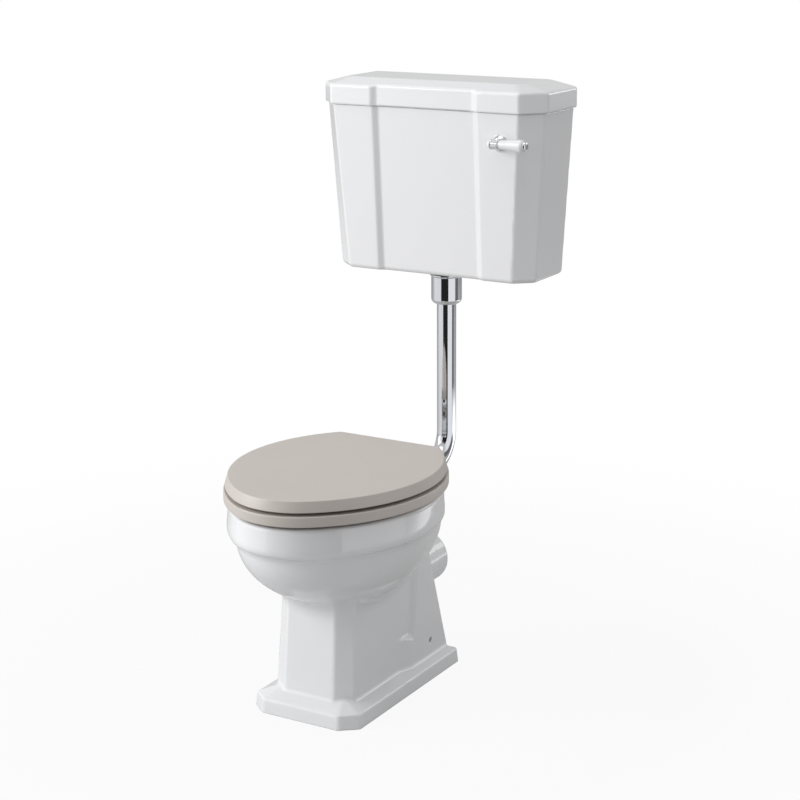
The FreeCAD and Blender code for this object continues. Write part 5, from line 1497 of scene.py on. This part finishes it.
@dataclass
class FlushLever:
    """Lever: domed bush in the tank's wall, chrome boss, white handle with a chrome end, white ball."""

    spindle: float = 0.00505
    bush_flange: float = 0.0165
    bush_dome: float = 0.010
    bush_shoulder: Pair = (0.014, 0.006)
    bush_rim: float = 0.002
    bush_radius: float = 0.009
    bush_length: float = 0.025
    boss_reach: float = 0.021
    boss_radius: float = 0.0095
    boss_left: float = 0.009
    boss_right: float = 0.008
    boss_edge: float = 0.0012
    boss_clearance: float = 0.0003
    boss_cell: float = 0.0011
    boss_finer: float = 1.6
    boss_small_step: float = 5e-5
    bead_height: float = 0.0008
    bead_place: float = 0.0070
    bead_shift: float = 0.0005
    bead_half_width: float = 0.0010
    bead_edge: float = 0.0006
    neck_radius: float = 0.007
    neck_edge: float = 0.0008
    neck_blend: float = 0.003
    handle_length: float = 0.051
    handle_root: float = 0.008
    handle_waist: Pair = (0.0089, 0.01785)
    handle_swell: Pair = (0.012, 0.0465)
    handle_end: float = 0.0102
    cap_length: float = 0.0065
    cap_radius: float = 0.009
    cap_stud: float = 0.010
    stud_radius: float = 0.0025
    ball_length: float = 0.008
    ball_radius: float = 0.0065
    ball_stud: float = 0.004
    ball_steps: int = 16

    def __post_init__(self) -> None:
        """Take the spindle's axis and the wall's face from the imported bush."""
        low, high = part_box("lever_bush")
        self.x, self.z = (low.x + high.x) / 2.0, (low.z + high.z) / 2.0
        self.front = low.y + self.bush_dome
        self.bar = self.front - self.boss_reach

    def boss_field(self, x: Array, y: Array, z: Array) -> Array:
        """Cross of two round bars, the neck on the spindle's axis and the bar on the handle's, with a
        bead round each end of the bar.

        Args:
            x: places across.
            y: places along.
            z: heights.

        Returns:
            Field of the boss.
        """
        across, along, height = x - self.x, y - self.bar, z - self.z
        neck = np.hypot(across, height) - self.neck_radius
        stop = self.boss_reach - self.bush_dome - self.boss_clearance
        neck = round_common(np.maximum(neck, -along), along - stop, self.neck_edge)
        ring = np.hypot(along, height) - self.boss_radius
        ends = np.maximum(across - self.boss_right, -self.boss_left - across)
        bar = round_common(ring, ends, self.boss_edge)
        beads = np.abs(np.abs(across + self.bead_shift) - self.bead_place) - self.bead_half_width
        beads = round_common(ring - self.bead_height, beads, self.bead_edge)
        boss = soft_union(neck, bar, self.neck_blend)
        return soft_union(boss, np.maximum(beads, ends), self.neck_edge)

    def bush(self) -> bpy.types.Object:
        """Bush: a turned profile with a dome outside the wall and a sleeve through it.

        Returns:
            The new object.
        """
        nose_round, shoulder_round, rim_round, end_round = 0.003, 0.006, 0.002, 0.0005
        shoulder_radius, shoulder_height = self.bush_shoulder
        corners = [
            (self.spindle, -self.bush_dome, 0.0),
            (self.bush_radius, -self.bush_dome, nose_round),
            (shoulder_radius, -shoulder_height, shoulder_round),
            (self.bush_flange, -self.bush_rim, rim_round),
            (self.bush_flange, 0.0, 0.0),
            (self.bush_radius, 0.0, 0.0),
            (self.bush_radius, self.bush_length, end_round),
            (self.spindle, self.bush_length, 0.0),
            (self.spindle, -self.bush_dome, 0.0),
        ]
        return turned("chrome_bush", soft_profile(corners), (self.x, self.front, self.z), Axis.Y)

    def boss(self) -> bpy.types.Object:
        """Boss, meshed with the finest cells along its bar.

        Returns:
            The new object.
        """
        margin, reach, cell = 0.003, self.boss_radius + 0.004, self.boss_cell
        left, right = self.x - self.boss_left - margin, self.x + self.boss_right + margin
        axes = (
            graded(left, right, cell / self.boss_finer),
            graded(self.bar - reach, self.front, cell),
            graded(self.z - reach, self.z + reach, cell),
        )
        return Mesher(axes, self.boss_small_step).piece("chrome_boss", self.boss_field)

    def handle(self, root: Triple) -> bpy.types.Object:
        """Handle: a turned profile that swells towards its end.

        Args:
            root: point on the axis where the handle meets the boss.

        Returns:
            The new object.
        """
        root_round, waist_round, swell_round, end_round = 0.0012, 0.08, 0.005, 0.0016
        corners = [
            (self.stud_radius, 0.0, 0.0),
            (self.handle_root, 0.0, root_round),
            (*self.handle_waist, waist_round),
            (*self.handle_swell, swell_round),
            (self.handle_end, self.handle_length, end_round),
            (self.stud_radius, self.handle_length, 0.0),
        ]
        return turned("china_handle", soft_profile(corners, steps=9), root, Axis.X)

    def cap(self, root: Triple) -> bpy.types.Object:
        """Cap: a turned button with a stud in the handle.

        Args:
            root: point on the axis where the cap meets the handle.

        Returns:
            The new object.
        """
        edge_round, button_round = 0.0006, 0.0045
        corners = [
            (0.0, -self.cap_stud, 0.0),
            (self.stud_radius, -self.cap_stud, 0.0),
            (self.stud_radius, 0.0, 0.0),
            (self.cap_radius, 0.0, edge_round),
            (self.cap_radius, self.cap_length, button_round),
            (0.0, self.cap_length, 0.0),
        ]
        return turned("chrome_handle_cap", soft_profile(corners, steps=12), root, Axis.X)

    def ball(self, root: Triple) -> bpy.types.Object:
        """Ball: a quarter circle on a short barrel, turned towards -X, with a stud in the boss.

        Args:
            root: point on the axis where the ball meets the boss.

        Returns:
            The new object.
        """
        turn = np.linspace(0.0, math.pi / 2.0, self.ball_steps)
        rise = self.ball_length - self.ball_radius + self.ball_radius * np.sin(turn)
        dome = np.stack([self.ball_radius * np.cos(turn), rise], 1)
        stud = [(0.0, -self.ball_stud), (self.stud_radius, -self.ball_stud), (self.stud_radius, 0.0)]
        profile = np.concatenate([stud, [(self.ball_radius, 0.0)], dome]) * np.array([1.0, -1.0])
        return turned("china_ball", profile, root, Axis.X)

    def build(self) -> None:
        """Build the pieces that show, copy those inside and dress them all."""
        left, right = self.x - self.boss_left, self.x + self.boss_right
        tip = right + self.handle_length
        dress(self.bush(), Body.SUITE, Slot.CHROME, "lever_bush")
        dress(self.boss(), Body.LEVER, Slot.CHROME, "lever_boss")
        dress(self.handle((right, self.bar, self.z)), Body.LEVER, Slot.CHINA, "lever_handle")
        dress(self.cap((tip, self.bar, self.z)), Body.LEVER, Slot.CHROME, "lever_end_cap")
        dress(self.ball((left, self.bar, self.z)), Body.LEVER, Slot.CHINA, "lever_ball")
        smooth_copies(Body.LEVER, Slot.BRASS, "lever_spindle", "lever_arm")
        smooth_copies(Body.LEVER, Slot.STEEL, "lever_arm_screw")
        smooth_copies(Body.SUITE, Slot.RUBBER, "lever_bush_washer")
        smooth_copies(Body.SUITE, Slot.BRASS, "lever_bush_nut")


class TankFittings:
    """Siphon, plunger, inlet valve and float inside the tank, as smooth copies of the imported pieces."""

    def build(self) -> None:
        """Copy and dress each piece."""
        smooth_copies(Body.SUITE, Slot.WHITE_PLASTIC, "siphon_body")
        smooth_copies(Body.SUITE, Slot.DARK_PLASTIC, "siphon_back_nut", "fill_valve_nut", "fill_valve_cap")
        smooth_copies(Body.SUITE, Slot.RUBBER, "siphon_washer", "fill_valve_washer")
        smooth_copies(Body.SUITE, Slot.BRASS, "fill_valve_body", "float_pivot_pin")
        smooth_copies(Body.PLUNGER, Slot.BRASS, "plunger_rod")
        smooth_copies(Body.PLUNGER, Slot.WHITE_PLASTIC, "plunger_plate")
        smooth_copies(Body.PLUNGER, Slot.RUBBER, "plunger_diaphragm")
        smooth_copies(Body.PLUNGER, Slot.STEEL, "lift_hook")
        smooth_copies(Body.FLOAT, Slot.BRASS, "float_arm")
        smooth_copies(Body.FLOAT, Slot.WHITE_PLASTIC, "float_ball")
        smooth_copies(Body.PIN, Slot.STEEL, "fill_valve_pin")


# Studio


@dataclass(frozen=True)
class Lamp:
    """Square area lamp that points at a target."""

    name: str
    place: Triple
    size: float
    watts: float
    target: Triple = (0.0, 0.0, 0.6)

    def build(self) -> None:
        """Make the lamp."""
        light = bpy.data.lights.new(self.name, "AREA")
        light.size = self.size
        light.energy = self.watts
        lamp = bpy.data.objects.new(self.name, light)
        lamp.location = self.place
        heading = Vector(self.target) - Vector(self.place)
        lamp.rotation_euler = heading.to_track_quat("-Z", "Y").to_euler()
        bpy.context.scene.collection.objects.link(lamp)


@dataclass(frozen=True)
class Card:
    """Curved upright card round the flush pipe that only reflections see.

    It stands between two bearings, in degrees from +X, and two heights. Its shade is its grey, or
    its light where it is over 1. It fades out over shares of itself at its first bearing, its last
    bearing and its top, and a share of 0 is a hard edge.
    """

    name: str
    bearings: Pair
    heights: Pair
    shade: float
    fades: Triple
    centre: Pair = (0.0, 0.29)
    radius: float = 1.25
    tint: Triple = (0.97, 0.97, 1.0)
    steps: int = 25

    def piece(self) -> bpy.types.Object:
        """Part of an upright cylinder, with an attribute that falls from 1 to 0 at its fading edges.

        Returns:
            The new object.
        """
        across = np.linspace(0.0, 1.0, self.steps)
        upright = across[:, None]
        bearing = np.radians(self.bearings[0] + (self.bearings[1] - self.bearings[0]) * across)
        height = self.heights[0] + (self.heights[1] - self.heights[0]) * upright
        x = self.centre[0] + self.radius * np.cos(bearing)
        y = self.centre[1] + self.radius * np.sin(bearing)
        points = np.stack(np.broadcast_arrays(x, y, height), -1).reshape(-1, 3)
        first = (np.arange(self.steps - 1)[:, None] * self.steps + np.arange(self.steps - 1)).ravel()
        quads = np.stack([first, first + 1, first + 1 + self.steps, first + self.steps], 1)
        piece = new_piece(self.name, fill_mesh(self.name, points, quads))
        # A fade starts just outside the card, so that a share of 0 gives a hard edge.
        start = -0.001
        cover = ramp(across, start, self.fades[0]) * ramp(1.0 - across, start, self.fades[1])
        cover = cover * ramp(1.0 - upright, start, self.fades[2])
        shown = piece.data.attributes.new("shown", "FLOAT", "POINT")
        shown.data.foreach_set("value", cover.ravel())
        return piece

    def build(self) -> None:
        """Make the card and hide it from all but reflections."""
        piece = self.piece()
        material, bench = plain_material(self.name + "_grey")
        clear = bench.add("ShaderNodeBsdfTransparent")
        glow = bench.add("ShaderNodeEmission", {"Color": (*self.tint, 1.0), "Strength": self.shade})
        shown = bench.add("ShaderNodeAttribute", attribute_name="shown")
        mixed = bench.add(
            "ShaderNodeMixShader",
            {"Fac": shown.outputs["Fac"], 1: clear.outputs[0], 2: glow.outputs[0]},
        )
        bench.add("ShaderNodeOutputMaterial", {"Surface": mixed.outputs[0]})
        piece.data.materials.append(material)
        piece.visible_camera = False
        piece.visible_diffuse = False
        piece.visible_shadow = False
        piece.visible_transmission = False


@dataclass
class Studio:
    """Camera of the photograph, pale floor, soft lamps, white surroundings and cards to reflect."""

    focal_length: float = 86.636
    sensor: float = 36.0
    camera_place: Triple = (1.79732, -2.93995, 1.45902)
    camera_reach: float = 60.0
    azimuth: float = 30.52
    pitch: float = 14.87
    roll: float = -0.33
    ambient: float = 0.50
    mirrored: float = 0.60
    floor_half: float = 9.0
    floor_white: float = 0.92
    floor_grey: float = 0.52
    floor_reach: Pair = (0.6, 1.6)
    card_foot: float = 0.002
    card_step: float = 0.19
    card_top: float = 1.7
    lamps: tuple[Lamp, ...] = (
        Lamp("key", (-2.8, -2.3, 1.9), size=2.6, watts=120.0),
        Lamp("top", (0.0, -0.2, 3.4), size=2.2, watts=17.0),
        Lamp("rear", (2.0, 2.6, 1.8), size=1.6, watts=16.0),
    )

    def camera(self) -> None:
        """Place the camera: forward, right and up from its angles, then its roll."""
        azimuth, pitch, roll = (math.radians(angle) for angle in (self.azimuth, self.pitch, self.roll))
        forward = Vector((-math.sin(azimuth), math.cos(azimuth), 0.0)) * math.cos(pitch)
        forward.z = -math.sin(pitch)
        level = Vector((math.cos(azimuth), math.sin(azimuth), 0.0))
        upright = level.cross(forward)
        right = level * math.cos(roll) + upright * math.sin(roll)
        up = upright * math.cos(roll) - level * math.sin(roll)
        data = bpy.data.cameras.new("camera")
        data.lens = self.focal_length
        data.sensor_width = self.sensor
        data.clip_end = self.camera_reach
        camera = bpy.data.objects.new("camera", data)
        turn = Matrix((right, up, -forward)).transposed().to_4x4()
        camera.matrix_world = Matrix.Translation(self.camera_place) @ turn
        bpy.context.scene.collection.objects.link(camera)
        bpy.context.scene.camera = camera

    def world(self) -> None:
        """Surroundings: white to the eye, pale in reflections and a dimmer even light on the object."""
        world = bpy.data.worlds.new("surroundings")
        bpy.context.scene.world = world
        world.use_nodes = True
        world.node_tree.nodes.clear()
        bench = NodeBench(world.node_tree)
        path = bench.add("ShaderNodeLightPath").outputs
        pale = bench.add(
            "ShaderNodeMath",
            {0: path["Is Glossy Ray"], 1: self.mirrored - self.ambient, 2: self.ambient},
            operation="MULTIPLY_ADD",
        )
        straight = bench.add(
            "ShaderNodeMath",
            {0: path["Is Camera Ray"], 1: path["Is Transmission Ray"]},
            operation="MAXIMUM",
        )
        strength = bench.add(
            "ShaderNodeMath", {0: pale.outputs[0], 1: straight.outputs[0]}, operation="MAXIMUM"
        )
        white = (1.0, 1.0, 1.0, 1.0)
        sky = bench.add("ShaderNodeBackground", {"Color": white, "Strength": strength.outputs[0]})
        bench.add("ShaderNodeOutputWorld", {"Surface": sky.outputs[0]})

    def floor(self) -> None:
        """Pale floor: mostly its own white to the eye, wholly so far out, so a faint shadow stays."""
        half, grey = self.floor_half, self.floor_grey
        corners = np.array([[-half, -half, 0.0], [half, -half, 0.0], [half, half, 0.0], [-half, half, 0.0]])
        piece = new_piece("floor", fill_mesh("floor", corners, np.array([[0, 1, 2, 3]])))
        material, bench = plain_material("floor_white")
        lit = bench.add("ShaderNodeBsdfDiffuse", {"Color": (grey, grey, grey, 1.0)})
        white = bench.add("ShaderNodeEmission")
        place = bench.add("ShaderNodeTexCoord").outputs["Object"]
        distance = bench.add("ShaderNodeVectorMath", {0: place}, operation="LENGTH")
        fade = bench.add(
            "ShaderNodeMapRange",
            {
                "Value": distance.outputs["Value"],
                "From Min": self.floor_reach[0],
                "From Max": self.floor_reach[1],
                "To Min": self.floor_white,
            },
        )
        seen = bench.add("ShaderNodeLightPath").outputs["Is Camera Ray"]
        share = bench.add("ShaderNodeMath", {0: seen, 1: fade.outputs["Result"]}, operation="MULTIPLY")
        mixed = bench.add(
            "ShaderNodeMixShader", {"Fac": share.outputs[0], 1: lit.outputs[0], 2: white.outputs[0]}
        )
        bench.add("ShaderNodeOutputMaterial", {"Surface": mixed.outputs[0]})
        piece.data.materials.append(material)

    def cards(self) -> tuple[Card, ...]:
        """Cards for the chrome and the glaze to reflect.

        Returns:
            The cards, none of which overlap.
        """
        hard, short, long = 0.0, 0.3, 0.6
        tall = (self.card_foot, self.card_top)
        raised = (self.card_step, self.card_top)
        low = (self.card_foot, self.card_step)
        return (
            Card("dark_card", (-102.0, -47.0), tall, 0.02, (hard, hard, short)),
            Card("white_card", (-47.0, 7.0), tall, 0.95, (hard, hard, short)),
            Card("grey_card", (7.0, 39.0), raised, 0.16, (hard, short, short)),
            Card("bright_card", (7.0, 84.0), low, 2.3, (short, short, long)),
            Card("pale_card", (-180.0, -102.0), tall, 0.85, (long, hard, short)),
        )

    def build(self) -> None:
        """Set up the whole studio."""
        self.camera()
        self.world()
        self.floor()
        for item in (*self.lamps, *self.cards()):
            item.build()
        bpy.context.scene.view_settings.view_transform = "Standard"


def main() -> None:
    """Build every sub-assembly, then the studio."""
    logging.basicConfig(level=logging.INFO, format="%(name)s: %(message)s")
    toilet = (Pan(), Cistern(), Seat(), SeatHinge(), FlushPipe(), FlushLever(), TankFittings())
    for part in (*toilet, Studio()):
        part.build()


if __name__ == "__main__":
    main()
